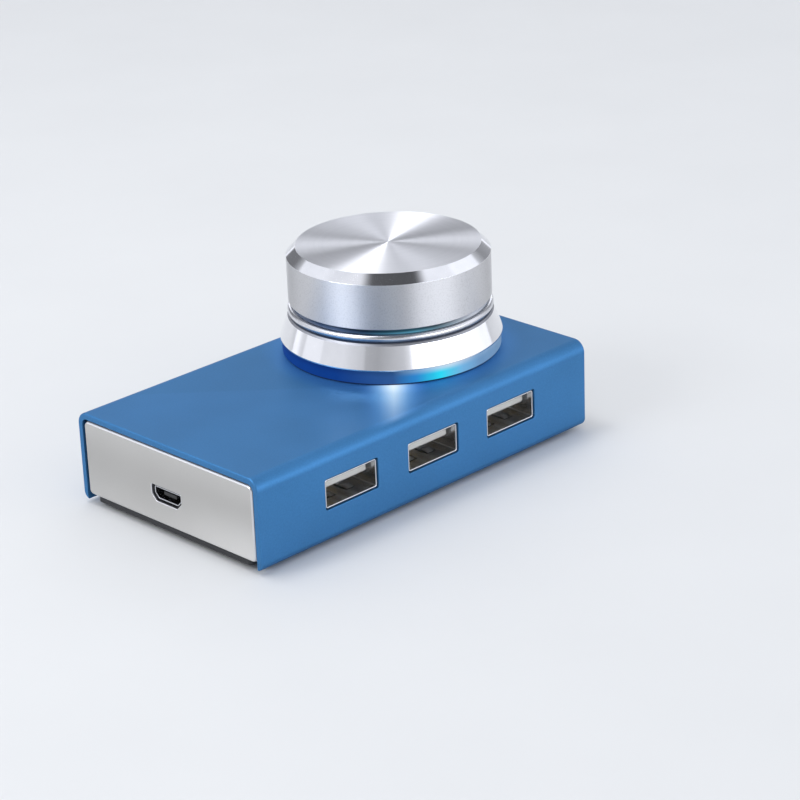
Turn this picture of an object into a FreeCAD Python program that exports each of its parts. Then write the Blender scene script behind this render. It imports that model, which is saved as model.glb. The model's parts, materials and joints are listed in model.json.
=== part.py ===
# Desk volume control with a big push-and-turn knob and a three-port USB hub. Millimetres.
# X runs along the case, with the micro-USB end at -X. The USB-A ports face -Y. Z is up.
# The origin lies on the surface that the feet stand on, under the middle of the case.
import FreeCAD, Part
import math
import os

V = FreeCAD.Vector
along_x = V(1, 0, 0)
along_y = V(0, 1, 0)
along_z = V(0, 0, 1)

# Fits shared by many pieces
screw_clearance = 0.2        # radial, a screw in a plain hole
thread_clearance = 0.02      # radial, a screw in its thread
running_clearance = 0.03     # radial, the shaft in its bush
slot_clearance = 0.1         # a pin or leg in its board slot
touch_gap = 0.05             # small gap between pieces that move past each other

# Case: a channel with rounded long edges, open below between two lips
case_length = 87.5
case_width = 50.0
case_height = 18.0
case_wall = 1.2
case_edge_radius = 2.5       # the two upper long edges
case_foot_radius = 1.55      # the two lower long edges
case_end_bevel = 0.25
lip_width = 3.2
lip_setback = 2.5            # the lips stop this far before the case's ends

# Base plate, feet and screws
base_thickness = 1.2
base_recess = 0.2
base_side_gap = 0.2
base_end_inset = 0.5
base_corner_radius = 1.0
foot_radius = 4.0
foot_stand = 0.8             # how far the feet stand out below the case
foot_bevel = 0.3
foot_from_end = 12.75
foot_from_side = 9.0

# End panels, with a foot that the posts clamp onto the base plate
panel_thickness = 1.5
panel_inset = 0.05
panel_gap = 0.5
panel_bevel = 0.25
panel_corner_radius = 1.0
panel_foot_length = 7.0
panel_foot_thickness = 1.2

# Posts and their screws
post_from_end = 5.15
post_from_side = 6.4
post_across_flats = 4.5
lower_post_radius = 2.25
lower_post_length = 2.3
stud_radius = 1.22
stud_reach = 3.0
base_screw_head_radius = 2.2
base_screw_grip = 1.7        # thread length inside the lower post
cross_slot_width = 0.5
cross_slot_length = 2.7
cross_slot_depth = 0.7
blind_hole_spare = 0.15      # drilled past the end of a thread

# Main board
board_thickness = 1.2
board_end_gap = 0.25
board_side_gap = 0.5
board_corner_radius = 1.0
pin_tail = 0.9               # how far pins stand out below the board

# USB-A ports
port_count = 3
port_pitch = 21.4
port_row_offset = 0.7        # middle of the row along X
port_width = 13.1
port_height = 5.7
port_depth = 14.0
port_sheet = 0.3
port_corner_radius = 0.5
port_lift = 0.55             # shell underside above the board
port_inset = 0.3             # shell mouth behind the case side
port_window_gap = 0.2
tongue_side_gap = 0.7        # tongue to the shell's inner side
tongue_thickness = 1.84
tongue_top_gap = 0.71        # tongue below the shell's inner top
tongue_setback = 1.9         # tongue tip behind the shell mouth
tongue_root_length = 3.0
tongue_tip_bevel = 0.45
contact_width = 1.0
contact_thickness = 0.15
contact_setback = 0.7        # contact tip behind the tongue tip
contact_pin_width = 0.5
contact_offsets = (-3.5, -1.0, 1.0, 3.5)
leaf_width = 2.0
leaf_length = 5.0
leaf_dip = 0.35
leaf_setback = 3.0
leaf_spacing = 5.0
leaf_bend = 1.5              # from the leaf's tip to its lowest point
leaf_window_gap = 0.2
leg_width = 1.6
leg_places = (0.4, 0.8)      # along the shell, as shares of its depth

# Micro-USB inlet
micro_y = 0.5
micro_width = 7.5
micro_height = 2.5
micro_corner = 1.05          # the two cut-off lower corners
micro_sheet = 0.25
micro_depth = 5.4
micro_setback = 0.45         # shell mouth behind the panel face
micro_window_gap = 0.35
micro_tongue_width = 3.5
micro_tongue_thickness = 0.7
micro_root_length = 1.6
micro_tongue_setback = 0.6   # tongue tip behind the shell mouth
micro_contact_setback = 0.3  # contact tips behind the tongue tip
micro_contact_pitch = 0.65
micro_contact_width = 0.3
micro_contact_thickness = 0.1

# Chips and small parts on the board
hub_chip_size = (10.2, 5.3, 1.75)
hub_chip_at = (-10.0, 3.0)
hub_lead_count = 14
controller_size = 7.0
controller_height = 1.4
controller_from_end = 18.75   # from the -X end
controller_y = 9.0
controller_lead_count = 8
lead_pitch = 0.65
lead_width = 0.3
lead_length = 1.0
lead_thickness = 0.2
crystal_size = (11.0, 4.6, 3.5)
crystal_end_radius = 2.1
crystal_from_hub_chip = (2.0, 10.0)
regulator_size = (6.5, 3.5, 1.6)
regulator_from_end = 15.75    # from the -X end
regulator_y = -4.0
reservoir_radius = 3.1
reservoir_height = 5.4
reservoir_base_side = 6.5
reservoir_base_height = 0.8
reservoir_from_end = 8.75     # from the +X end
reservoir_ys = (-6.0, 3.0)
small_part_size = (1.6, 0.8, 0.7)
small_part_columns = 6
small_part_pitch = 3.0
small_parts_from_hub_chip = -5.5     # middle of the row along Y
small_parts_from_controller = 8.0

# Encoder and push switch, stacked on the board under the knob
knob_from_end = 25.55        # knob axis to the +X end of the case
ring_back_margin = 0.0       # flare ring to the back side of the case
encoder_side = 12.0
switch_height = 2.0
switch_floor = 0.6
switch_wall = 3.0
dome_gap = 0.3               # radial, dome and plunger in the switch
dome_height = 0.8
dome_sheet = 0.12
plunger_flange = 0.45
plunger_flange_step = 0.8    # radial, flange beyond the stem
plunger_stem_height = 0.65
press_travel = 0.5
encoder_base_height = 2.9
encoder_floor = 0.5
encoder_floor_gap = 0.3      # radial, the shaft's end in the floor
encoder_wall = 0.8
rotor_gap = 0.2              # radial, the rotor in its cavity
rotor_lift = 0.25
rotor_height = 1.65
notch_count = 20
notch_depth = 0.25
notch_width = 0.5
wiper_count = 3
wiper_inset = 1.0            # middle of the wipers inside the rotor's edge
wiper_size = (0.8, 2.4, 0.12)
detent_ring_gap = 0.1        # radial, the spring in its cavity
detent_ring_width = 0.8
detent_finger_inset = 0.1    # finger inside the ring's edges
detent_sheet = 0.15
flange_height = 1.6
clip_recess_gap = 0.2        # radial
clip_recess_depth = 0.85
bush_wall = 0.5
bush_length = 7.0
bush_hole_gap = 0.8          # radial, the bush in the case top
bracket_sheet = 0.4
bracket_width = 10.0
encoder_pin_width = 0.8
encoder_pin_sheet = 0.3
encoder_pin_pitch = 2.5
encoder_pin_height = 3.45    # above the board
switch_pin_height = 1.4
bracket_leg_width = 2.0
shaft_radius = 3.0
shaft_end_gap = 0.28         # shaft's top below the end of the hub's bore
drive_flat_depth = 0.75      # each of the two flats that turn the rotor
shaft_flat_depth = 1.5       # flat of the D end
shaft_flat_length = 9.5
clip_reach = 1.0             # clip beyond the shaft
clip_sheet = 0.5
clip_groove_depth = 0.65
clip_mouth = 3.2

# Ring stack on the case top: gasket, light ring, flare ring
flare_radius = 21.9          # widest, at the bottom edge
flare_land = 0.25            # short straight edge under the cone
flare_cone_height = 4.25
flare_cone_run = 1.62        # how far the cone draws in towards its neck
groove_depth = 0.38          # below the cone's upper end
groove_height = 0.9
bead_radius = 0.75           # rounding of the bead
bead_setback = 0.03          # bead's widest point inside the cone's upper end
bead_turn = math.radians(35) # how far the bead curls under before the groove
flare_top_flat = 0.25
flare_dish_depth = 0.65      # the top surface sinks towards the middle
flare_dish_width = 1.6
flare_web = 1.2
flare_hole_radius = 8.0
light_ring_setback = 0.3     # inside the flare ring's edge
light_ring_width = 2.4
light_ring_height = 2.7
light_ring_bevel = 0.2
light_ring_step = 0.2        # light ring's inner side outside the flare ring's
gasket_setback = 0.3         # inside the light ring's outer side
gasket_width = 1.6
gasket_thickness = 0.3
boss_radius = 2.6
boss_gap = 0.3               # bosses to the light-emitting diodes
boss_count = 3
ring_screw_radius = 1.22
ring_screw_grip = 4.0
ring_screw_head_radius = 2.3
ring_screw_head_height = 1.5

# Light board and its link to the main board
light_board_thickness = 1.0
light_board_gap = 0.6        # radial, inside the flare ring
light_board_hole_gap = 0.7   # radial, around the case's bush hole
led_count = 12
led_size = (1.6, 3.2, 1.2)   # radial, along the ring, up
led_inset = 1.2              # middle of each diode inside the board's edge
link_offset = -9.5           # from the knob axis along X
link_pin_count = 4
link_pitch = 2.54
link_pin_side = 0.64
link_block_height = 2.5
link_slot_gap = 0.6

# Knob
knob_radius = 20.0
knob_height = 10.8
knob_gap = 1.1               # knob above the flare ring's bead
knob_chamfer_width = 1.85
knob_chamfer_height = 1.8
knob_bottom_bevel = 0.15
knob_skirt = 2.5
knob_roof = 4.0
knob_boss_wall = 3.0
knob_boss_lift = 0.8
hub_wall = 3.0
hub_lift = 0.6
hub_roof = 0.4
knob_cap_roof = 2.4          # metal left above the hub
hub_spring_sheet = 0.3
hub_spring_width = 3.6
hub_spring_length = 6.0

# Levels, from the standing surface up
case_bottom = foot_stand
case_top = case_bottom + case_height
ceiling = case_top - case_wall
base_bottom = case_bottom + base_recess
base_top = base_bottom + base_thickness
panel_foot_top = base_top + panel_foot_thickness
board_bottom = panel_foot_top + lower_post_length
board_top = board_bottom + board_thickness
pin_bottom = board_bottom - pin_tail
port_bottom = board_top + port_lift
port_top = port_bottom + port_height
micro_bottom = board_top
switch_top = board_top + switch_height
dome_bottom = board_top + switch_floor
plunger_bottom = dome_bottom + dome_height + touch_gap
plunger_top = plunger_bottom + plunger_flange + plunger_stem_height
encoder_base_top = switch_top + encoder_base_height
rotor_bottom = switch_top + encoder_floor + rotor_lift
rotor_top = rotor_bottom + rotor_height
encoder_top = encoder_base_top + flange_height
shaft_bottom = plunger_top + thread_clearance
clip_top = encoder_base_top + clip_recess_depth - touch_gap
light_board_top = case_top + light_board_thickness
gasket_top = case_top + gasket_thickness
light_ring_top = gasket_top + light_ring_height
cone_top = light_ring_top + flare_land + flare_cone_height
bead_middle = cone_top + groove_height + bead_radius * math.sin(bead_turn)
flare_top = bead_middle + bead_radius
knob_bottom = flare_top + knob_gap
knob_top = knob_bottom + knob_height
hub_top = knob_top - knob_cap_roof
shaft_top = hub_top - hub_roof - shaft_end_gap

# Radii about the knob axis
flare_neck_radius = flare_radius - flare_cone_run
groove_radius = flare_neck_radius - groove_depth
bead_reach = flare_neck_radius - bead_setback
light_ring_radius = flare_radius - light_ring_setback
light_ring_inner_radius = light_ring_radius - light_ring_width
flare_inner_radius = light_ring_inner_radius - light_ring_step
gasket_outer_radius = light_ring_radius - gasket_setback
light_board_radius = flare_inner_radius - light_board_gap
led_circle = light_board_radius - led_inset
boss_circle = led_circle - led_size[0] / 2 - boss_gap - boss_radius
knob_top_radius = knob_radius - knob_chamfer_width
bush_radius = shaft_radius + bush_wall
bush_hole_radius = bush_radius + bush_hole_gap
hub_radius = shaft_radius + hub_wall
knob_boss_radius = hub_radius + knob_boss_wall
encoder_cavity_radius = encoder_side / 2 - encoder_wall
rotor_radius = encoder_cavity_radius - rotor_gap
detent_ring_outer = encoder_cavity_radius - detent_ring_gap
detent_ring_inner = detent_ring_outer - detent_ring_width
detent_finger_inner = detent_ring_inner + detent_finger_inset
detent_finger_outer = detent_ring_outer - detent_finger_inset
switch_cavity_radius = encoder_side / 2 - switch_wall
dome_radius = switch_cavity_radius - dome_gap
clip_radius = shaft_radius + clip_reach
clip_groove_radius = shaft_radius - clip_groove_depth
shaft_drive_flats = 2 * (shaft_radius - drive_flat_depth)
shaft_flat = shaft_radius - shaft_flat_depth

# Places seen from above
half_length = case_length / 2
half_width = case_width / 2
inner_half_width = half_width - case_wall
front_face = -half_width
knob_x = half_length - knob_from_end
knob_y = half_width - flare_radius - ring_back_margin
panel_outer_x = half_length - panel_inset
panel_inner_x = panel_outer_x - panel_thickness
board_half_length = panel_inner_x - board_end_gap
board_half_width = inner_half_width - board_side_gap
port_mouth_y = front_face + port_inset
micro_mouth_x = -panel_outer_x + micro_setback
port_back_y = port_mouth_y + port_depth
port_middle_z = (port_bottom + port_top) / 2
tongue_top_z = port_top - port_sheet - tongue_top_gap
tongue_bottom_z = tongue_top_z - tongue_thickness
port_places = [port_row_offset + port_pitch * (i - (port_count - 1) / 2) for i in range(port_count)]
post_places = [(sx * (half_length - post_from_end), sy * (half_width - post_from_side))
               for sx in (-1, 1) for sy in (-1, 1)]
foot_places = [(sx * (half_length - foot_from_end), sy * (half_width - foot_from_side))
               for sx in (-1, 1) for sy in (-1, 1)]
boss_angles = [math.radians(360 * i / boss_count) for i in range(boss_count)]
boss_places = [(knob_x + boss_circle * math.cos(a), knob_y + boss_circle * math.sin(a)) for a in boss_angles]
link_x = knob_x + link_offset
link_ys = [knob_y + link_pitch * (i - (link_pin_count - 1) / 2) for i in range(link_pin_count)]
controller_at = (-half_length + controller_from_end, controller_y)
regulator_at = (-half_length + regulator_from_end, regulator_y)
reservoir_spots = [(half_length - reservoir_from_end, y) for y in reservoir_ys]
crystal_at = (hub_chip_at[0] + crystal_from_hub_chip[0], hub_chip_at[1] + crystal_from_hub_chip[1])
small_part_rows = [(hub_chip_at[0], hub_chip_at[1] + small_parts_from_hub_chip),
                   (controller_at[0], controller_y + small_parts_from_controller)]
tongue_width = port_width - 2 * (port_sheet + tongue_side_gap)
encoder_pin_xs = [knob_x + encoder_pin_pitch * i for i in (-1, 0, 1)]
switch_pin_xs = [knob_x + encoder_pin_pitch * i for i in (-1, 1)]


# ---- general shapes ----

def block(x0, x1, y0, y1, z0, z1):
    return Part.makeBox(x1 - x0, y1 - y0, z1 - z0, V(x0, y0, z0))


def block_on(x, y, z, size):
    """A block of the given size standing on z, centred on x and y."""
    return block(x - size[0] / 2, x + size[0] / 2, y - size[1] / 2, y + size[1] / 2, z, z + size[2])


def disc(x, y, radius, z0, z1):
    return Part.makeCylinder(radius, z1 - z0, V(x, y, z0))


def tube(x, y, outer, inner, z0, z1):
    return disc(x, y, outer, z0, z1).cut(disc(x, y, inner, z0, z1))


def hexagon(x, y, across_flats, z0, z1):
    corner = across_flats / math.sqrt(3)
    angles = [math.radians(60 * i) for i in range(7)]
    points = [V(x + corner * math.cos(a), y + corner * math.sin(a), z0) for a in angles]
    return Part.Face(Part.makePolygon(points)).extrude(V(0, 0, z1 - z0))


def prism(points, travel):
    """A closed polygon pushed along travel."""
    return Part.Face(Part.makePolygon(points + points[:1])).extrude(travel)


def edges_along(shape, direction):
    found = []
    for edge in shape.Edges:
        if len(edge.Vertexes) == 2:
            run = edge.Vertexes[1].Point - edge.Vertexes[0].Point
            if run.Length > 1e-6 and abs(run.normalize().dot(direction)) > 0.9999:
                found.append(edge)
    return found


def edges_at_x(shape, distance):
    """Edges that lie wholly at +distance or -distance along X."""
    return [e for e in shape.Edges if all(abs(abs(v.X) - distance) < 1e-6 for v in e.Vertexes)]


def rounded(shape, direction, radius):
    return shape.makeFillet(radius, edges_along(shape, direction))


def turned(start, steps, x, y):
    """Revolves an outline of (radius, height) points about the upright axis at x, y.

    A step of two numbers is a straight run to that point; a step of four is an arc through the
    first point to the second.
    """
    edges = []
    here = V(start[0], 0, start[1])
    for step in steps + [start]:
        there = V(step[-2], 0, step[-1])
        if len(step) == 4:
            edges.append(Part.Arc(here, V(step[0], 0, step[1]), there).toShape())
        else:
            edges.append(Part.LineSegment(here, there).toShape())
        here = there
    solid = Part.Face(Part.Wire(edges)).revolve(V(0, 0, 0), along_z, 360)
    solid.translate(V(x, y, 0))
    return solid


def turned_about_knob(shape, degrees):
    copy = shape.copy()
    copy.rotate(V(knob_x, knob_y, 0), along_z, degrees)
    return copy


def joined(shapes):
    return shapes[0].fuse(shapes[1:]).removeSplitter()


def drilled(shape, tools):
    return shape.cut(Part.makeCompound(tools))


# ---- case ----

def channel_bar(half, z0, z1, upper_radius, lower_radius, length):
    bar = block(-length / 2, length / 2, -half, half, z0, z1)
    upper = [e for e in edges_along(bar, along_x) if e.CenterOfMass.z > (z0 + z1) / 2]
    bar = bar.makeFillet(upper_radius, upper)
    lower = [e for e in edges_along(bar, along_x) if abs(e.CenterOfMass.z - z0) < 1e-6]
    return bar.makeFillet(lower_radius, lower)


def port_window(x):
    half = port_width / 2 + port_window_gap
    hole = block(x - half, x + half, front_face - 1, -inner_half_width + 1,
                 port_bottom - port_window_gap, port_top + port_window_gap)
    return rounded(hole, along_y, port_corner_radius)


def housing_shell():
    outer = channel_bar(half_width, case_bottom, case_top, case_edge_radius, case_foot_radius, case_length)
    outer = outer.makeChamfer(case_end_bevel, edges_at_x(outer, half_length))
    inner_upper = max(case_edge_radius - case_wall, 0.1)
    inner_lower = max(case_foot_radius - case_wall, 0.1)
    inner = channel_bar(inner_half_width, case_bottom + case_wall, ceiling, inner_upper, inner_lower,
                        case_length + 2)
    mouth_half = half_width - lip_width
    mouth = block(-half_length - 1, half_length + 1, -mouth_half, mouth_half,
                  case_bottom - 1, case_bottom + 2 * case_wall)
    for side in (-1, 1):
        xs = sorted((side * (half_length - lip_setback), side * (half_length + 1)))
        mouth = mouth.fuse(block(xs[0], xs[1], -inner_half_width, inner_half_width,
                                 case_bottom - 1, case_bottom + 2 * case_wall))
    holes = [disc(knob_x, knob_y, bush_hole_radius, ceiling - 1, case_top + 1)]
    holes += [disc(x, y, ring_screw_radius + screw_clearance, ceiling - 1, case_top + 1)
              for x, y in boss_places]
    slot_half_x = link_pin_side / 2 + link_slot_gap
    holes.append(block(link_x - slot_half_x, link_x + slot_half_x,
                       link_ys[0] - slot_half_x, link_ys[-1] + slot_half_x, ceiling - 1, case_top + 1))
    holes += [port_window(x) for x in port_places]
    return outer.cut(inner).cut(mouth).cut(Part.makeCompound(holes))


def base_plate():
    half_x = half_length - base_end_inset
    half_y = half_width - lip_width - base_side_gap
    plate = block(-half_x, half_x, -half_y, half_y, base_bottom, base_top)
    plate = rounded(plate, along_z, base_corner_radius)
    holes = []
    for x, y in post_places:
        holes.append(disc(x, y, stud_radius + screw_clearance, base_bottom - 1, base_top + 1))
        holes.append(countersink(x, y, thread_clearance))
    return drilled(plate, holes)


def countersink(x, y, grow):
    depth = base_screw_head_radius - stud_radius
    return Part.makeCone(base_screw_head_radius + grow, stud_radius + grow, depth, V(x, y, base_bottom))


def base_screw(x, y):
    shank = disc(x, y, stud_radius, base_bottom, panel_foot_top + base_screw_grip)
    slot_reach = cross_slot_length / 2
    slot_top = base_bottom + cross_slot_depth
    half = cross_slot_width / 2
    cross = [block(x - slot_reach, x + slot_reach, y - half, y + half, base_bottom - 1, slot_top),
             block(x - half, x + half, y - slot_reach, y + slot_reach, base_bottom - 1, slot_top)]
    return drilled(joined([shank, countersink(x, y, 0)]), cross)


def rubber_foot(x, y):
    return turned((0, 0), [(foot_radius - foot_bevel, 0), (foot_radius, foot_bevel),
                           (foot_radius, base_bottom), (0, base_bottom)], x, y)


def end_panel_blank(side):
    """The upright plate and its clamped foot, for the +X end (side 1) or the -X end (side -1)."""
    half_y = inner_half_width - panel_gap
    low = base_top
    high = ceiling - panel_gap
    xs = sorted((side * panel_outer_x, side * panel_inner_x))
    plate = block(xs[0], xs[1], -half_y, half_y, low, high)
    plate = rounded(plate, along_x, panel_corner_radius)
    plate = plate.makeChamfer(panel_bevel, edges_at_x(plate, panel_outer_x))
    foot_half_y = half_width - lip_width
    xs = sorted((side * (panel_inner_x - panel_foot_length), side * (panel_inner_x + panel_thickness / 2)))
    foot = block(xs[0], xs[1], -foot_half_y, foot_half_y, base_top, panel_foot_top)
    holes = [disc(x, y, stud_radius + screw_clearance, base_top - 1, panel_foot_top + 1)
             for x, y in post_places if x * side > 0]
    return drilled(joined([plate, foot]), holes)


def micro_outline(x, grow):
    """The inlet's six-sided outline at a given X, wide side up, grown outward by grow."""
    wide = micro_width / 2 + grow
    narrow = micro_width / 2 - micro_corner + grow * (math.sqrt(2) - 1)
    shoulder = micro_bottom + micro_corner - grow * (math.sqrt(2) - 1)
    low = micro_bottom - grow
    high = micro_bottom + micro_height + grow
    places = [(-wide, high), (wide, high), (wide, shoulder), (narrow, low), (-narrow, low), (-wide, shoulder)]
    return [V(x, micro_y + y, z) for y, z in places]


def left_end_panel():
    window = prism(micro_outline(-panel_outer_x - 1, micro_window_gap), V(panel_thickness + 2, 0, 0))
    return end_panel_blank(-1).cut(window)


def right_end_panel():
    return end_panel_blank(1)


# ---- posts and boards ----

def lower_post(x, y):
    post = joined([disc(x, y, lower_post_radius, panel_foot_top, board_bottom),
                   disc(x, y, stud_radius, board_bottom, board_top + stud_reach)])
    bore = disc(x, y, stud_radius + thread_clearance, panel_foot_top,
                panel_foot_top + base_screw_grip + blind_hole_spare)
    return post.cut(bore)


def upper_post(x, y):
    post = hexagon(x, y, post_across_flats, board_top, ceiling)
    bore = disc(x, y, stud_radius + thread_clearance, board_top,
                board_top + stud_reach + blind_hole_spare)
    return post.cut(bore)


def main_board():
    board = block(-board_half_length, board_half_length, -board_half_width, board_half_width,
                  board_bottom, board_top)
    board = rounded(board, along_z, board_corner_radius)
    holes = [disc(x, y, stud_radius + screw_clearance, board_bottom - 1, board_top + 1)
             for x, y in post_places]
    for solid in board_pins():
        low = solid.BoundBox
        holes.append(block(low.XMin - slot_clearance, low.XMax + slot_clearance,
                           low.YMin - slot_clearance, low.YMax + slot_clearance,
                           board_bottom - 1, board_top + 1))
    return drilled(board, holes)


def board_pins():
    """Every pin and leg that goes through the main board."""
    pins = link_pins() + encoder_pins() + switch_pins() + bracket_legs()
    for x in port_places:
        pins += port_legs(x) + contact_pins(x)
    return pins


# ---- USB-A ports ----

def port_legs(x):
    legs = []
    for side in (-1, 1):
        outer = x + side * port_width / 2
        inner = outer - side * port_sheet
        xs = sorted((outer, inner))
        for share in leg_places:
            middle = port_mouth_y + port_depth * share
            legs.append(block(xs[0], xs[1], middle - leg_width / 2, middle + leg_width / 2,
                              pin_bottom, port_middle_z))
    return legs


def port_leaf(x, side):
    """A leaf spring cut free from the shell's top (side 1) or bottom (side -1), bent inward."""
    skin = port_top if side > 0 else port_bottom
    inner = skin - side * port_sheet
    tip = port_mouth_y + leaf_setback
    root = tip + leaf_length
    bend = tip + leaf_bend
    dip = side * leaf_dip
    points = [V(x - leaf_width / 2, root, skin), V(x - leaf_width / 2, root, inner),
              V(x - leaf_width / 2, bend, inner - dip), V(x - leaf_width / 2, tip, inner),
              V(x - leaf_width / 2, tip, skin), V(x - leaf_width / 2, bend, skin - dip)]
    return prism(points, V(leaf_width, 0, 0))


def usb_a_shell(x):
    half = port_width / 2
    outer = rounded(block(x - half, x + half, port_mouth_y, port_back_y, port_bottom, port_top),
                    along_y, port_corner_radius)
    inner = block(x - half + port_sheet, x + half - port_sheet, port_mouth_y - 1, port_back_y - port_sheet,
                  port_bottom + port_sheet, port_top - port_sheet)
    inner = rounded(inner, along_y, max(port_corner_radius - port_sheet, 0.05))
    tail_slot = block(x - tongue_width / 2, x + tongue_width / 2,
                      port_back_y - port_sheet - tongue_root_length, port_back_y - port_sheet,
                      port_bottom - 1, port_bottom + 2 * port_sheet)
    leaf_windows = []
    leaves = []
    for side in (-1, 1):
        z = port_top - port_sheet / 2 if side > 0 else port_bottom + port_sheet / 2
        for offset in (-leaf_spacing / 2, leaf_spacing / 2):
            window_half = leaf_width / 2 + leaf_window_gap
            tip = port_mouth_y + leaf_setback
            leaf_windows.append(block(x + offset - window_half, x + offset + window_half,
                                      tip - leaf_window_gap, tip + leaf_length,
                                      z - port_sheet, z + port_sheet))
            leaves.append(port_leaf(x + offset, side))
    shell = outer.cut(inner).cut(Part.makeCompound(leaf_windows + [tail_slot]))
    return joined([shell] + leaves + port_legs(x))


def contact_strips(x):
    end = port_back_y - port_sheet - tongue_root_length / 2
    return [block(x + dx - contact_width / 2, x + dx + contact_width / 2,
                  port_mouth_y + tongue_setback + contact_setback, end,
                  tongue_bottom_z, tongue_bottom_z + contact_thickness) for dx in contact_offsets]


def contact_pins(x):
    end = port_back_y - port_sheet - tongue_root_length / 2
    return [block(x + dx - contact_pin_width / 2, x + dx + contact_pin_width / 2,
                  end - 2 * contact_thickness, end, pin_bottom, tongue_bottom_z + contact_thickness)
            for dx in contact_offsets]


def usb_a_contacts(x):
    return [joined([strip, pin]) for strip, pin in zip(contact_strips(x), contact_pins(x))]


def usb_a_tongue(x):
    half = port_width / 2 - port_sheet - touch_gap
    rear = port_back_y - port_sheet
    root = block(x - half, x + half, rear - tongue_root_length, rear,
                 port_bottom + port_sheet, port_top - port_sheet - touch_gap)
    root = rounded(root, along_y, port_corner_radius)
    tongue = block(x - tongue_width / 2, x + tongue_width / 2, port_mouth_y + tongue_setback, rear,
                   tongue_bottom_z, tongue_top_z)
    tip = [e for e in edges_along(tongue, along_x) if e.CenterOfMass.y < port_mouth_y + tongue_setback + 0.1]
    tongue = tongue.makeChamfer(tongue_tip_bevel, tip)
    return drilled(joined([root, tongue]), contact_strips(x) + contact_pins(x))


# ---- micro-USB inlet ----

def micro_usb_shell():
    outer = prism(micro_outline(micro_mouth_x, 0), V(micro_depth, 0, 0))
    inner = prism(micro_outline(micro_mouth_x - 1, -micro_sheet), V(micro_depth + 1 - micro_sheet, 0, 0))
    return outer.cut(inner)


def micro_contacts():
    tip = micro_mouth_x + micro_tongue_setback + micro_contact_setback
    end = micro_mouth_x + micro_depth - micro_sheet
    level = micro_bottom + micro_height / 2 + micro_tongue_thickness / 2 - micro_contact_thickness
    return [block_on((tip + end) / 2, micro_y + micro_contact_pitch * i, level,
                     (end - tip, micro_contact_width, micro_contact_thickness)) for i in (-2, -1, 0, 1, 2)]


def micro_usb_tongue():
    back = micro_mouth_x + micro_depth - micro_sheet
    root = prism(micro_outline(back - micro_root_length, -micro_sheet - touch_gap),
                 V(micro_root_length, 0, 0))
    middle = micro_bottom + micro_height / 2
    tip = micro_mouth_x + micro_tongue_setback
    tongue = block(tip, back, micro_y - micro_tongue_width / 2, micro_y + micro_tongue_width / 2,
                   middle - micro_tongue_thickness / 2, middle + micro_tongue_thickness / 2)
    return drilled(joined([root, tongue]), micro_contacts())


# ---- chips and small parts ----

def chip_leads(x, y, half_size, count, along):
    """Flat feet along the two sides of a chip that run along X or Y."""
    leads = []
    for side in (-1, 1):
        for i in range(count):
            step = lead_pitch * (i - (count - 1) / 2)
            reach = side * (half_size + lead_length / 2)
            if along == "x":
                size = (lead_width, lead_length, lead_thickness)
                leads.append(block_on(x + step, y + reach, board_top, size))
            else:
                size = (lead_length, lead_width, lead_thickness)
                leads.append(block_on(x + reach, y + step, board_top, size))
    return leads


def hub_chip():
    return block_on(*hub_chip_at, board_top, hub_chip_size)


def hub_chip_leads():
    return chip_leads(*hub_chip_at, hub_chip_size[1] / 2, hub_lead_count, "x")


def controller_chip():
    return block_on(*controller_at, board_top, (controller_size, controller_size, controller_height))


def controller_leads():
    half = controller_size / 2
    count = controller_lead_count
    return chip_leads(*controller_at, half, count, "x") + chip_leads(*controller_at, half, count, "y")


def crystal_can():
    can = block_on(*crystal_at, board_top, crystal_size)
    return rounded(can, along_z, crystal_end_radius)


def regulator_chip():
    return block_on(*regulator_at, board_top, regulator_size)


def small_parts():
    """Two rows of chip capacitors, one beside each chip."""
    steps = [small_part_pitch * (i - (small_part_columns - 1) / 2) for i in range(small_part_columns)]
    return [block_on(x + step, y, board_top, small_part_size) for x, y in small_part_rows for step in steps]


def reservoir_can(x, y):
    base = block_on(x, y, board_top, (reservoir_base_side, reservoir_base_side, reservoir_base_height))
    can = disc(x, y, reservoir_radius, board_top + reservoir_base_height, board_top + reservoir_height)
    return joined([base, can])


# ---- encoder and switch ----

def encoder_block(z0, z1):
    return block_on(knob_x, knob_y, z0, (encoder_side, encoder_side, z1 - z0))


def switch_case():
    cavity = disc(knob_x, knob_y, switch_cavity_radius, dome_bottom, switch_top)
    return encoder_block(board_top, switch_top).cut(cavity)


def cap_arc(radius, height, z):
    """Middle and end points of an arc from (radius, z) up to the axis at z + height."""
    ball = (radius ** 2 + height ** 2) / (2 * height)
    half_angle = math.asin(radius / ball) / 2
    return (ball * math.sin(half_angle), z + height - ball + ball * math.cos(half_angle))


def switch_dome():
    middle = cap_arc(dome_radius, dome_height, dome_bottom)
    inner_radius = dome_radius - 2 * dome_sheet
    inner_height = dome_height - dome_sheet
    inner_middle = cap_arc(inner_radius, inner_height, dome_bottom)
    return turned((dome_radius, dome_bottom),
                  [(middle[0], middle[1], 0, dome_bottom + dome_height), (0, dome_bottom + inner_height),
                   (inner_middle[0], inner_middle[1], inner_radius, dome_bottom)], knob_x, knob_y)


def switch_plunger():
    return joined([disc(knob_x, knob_y, dome_radius, plunger_bottom, plunger_bottom + plunger_flange),
                   disc(knob_x, knob_y, dome_radius - plunger_flange_step, plunger_bottom, plunger_top)])


def encoder_base():
    floor_top = switch_top + encoder_floor
    cavity = [disc(knob_x, knob_y, encoder_cavity_radius, floor_top, encoder_base_top),
              disc(knob_x, knob_y, shaft_radius + encoder_floor_gap, switch_top, floor_top)]
    return drilled(encoder_block(switch_top, encoder_base_top), cavity)


def side_pins(xs, side, top):
    y_face = knob_y + side * encoder_side / 2
    ys = sorted((y_face, y_face + side * encoder_pin_sheet))
    return [block(x - encoder_pin_width / 2, x + encoder_pin_width / 2, ys[0], ys[1], pin_bottom, top)
            for x in xs]


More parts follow.
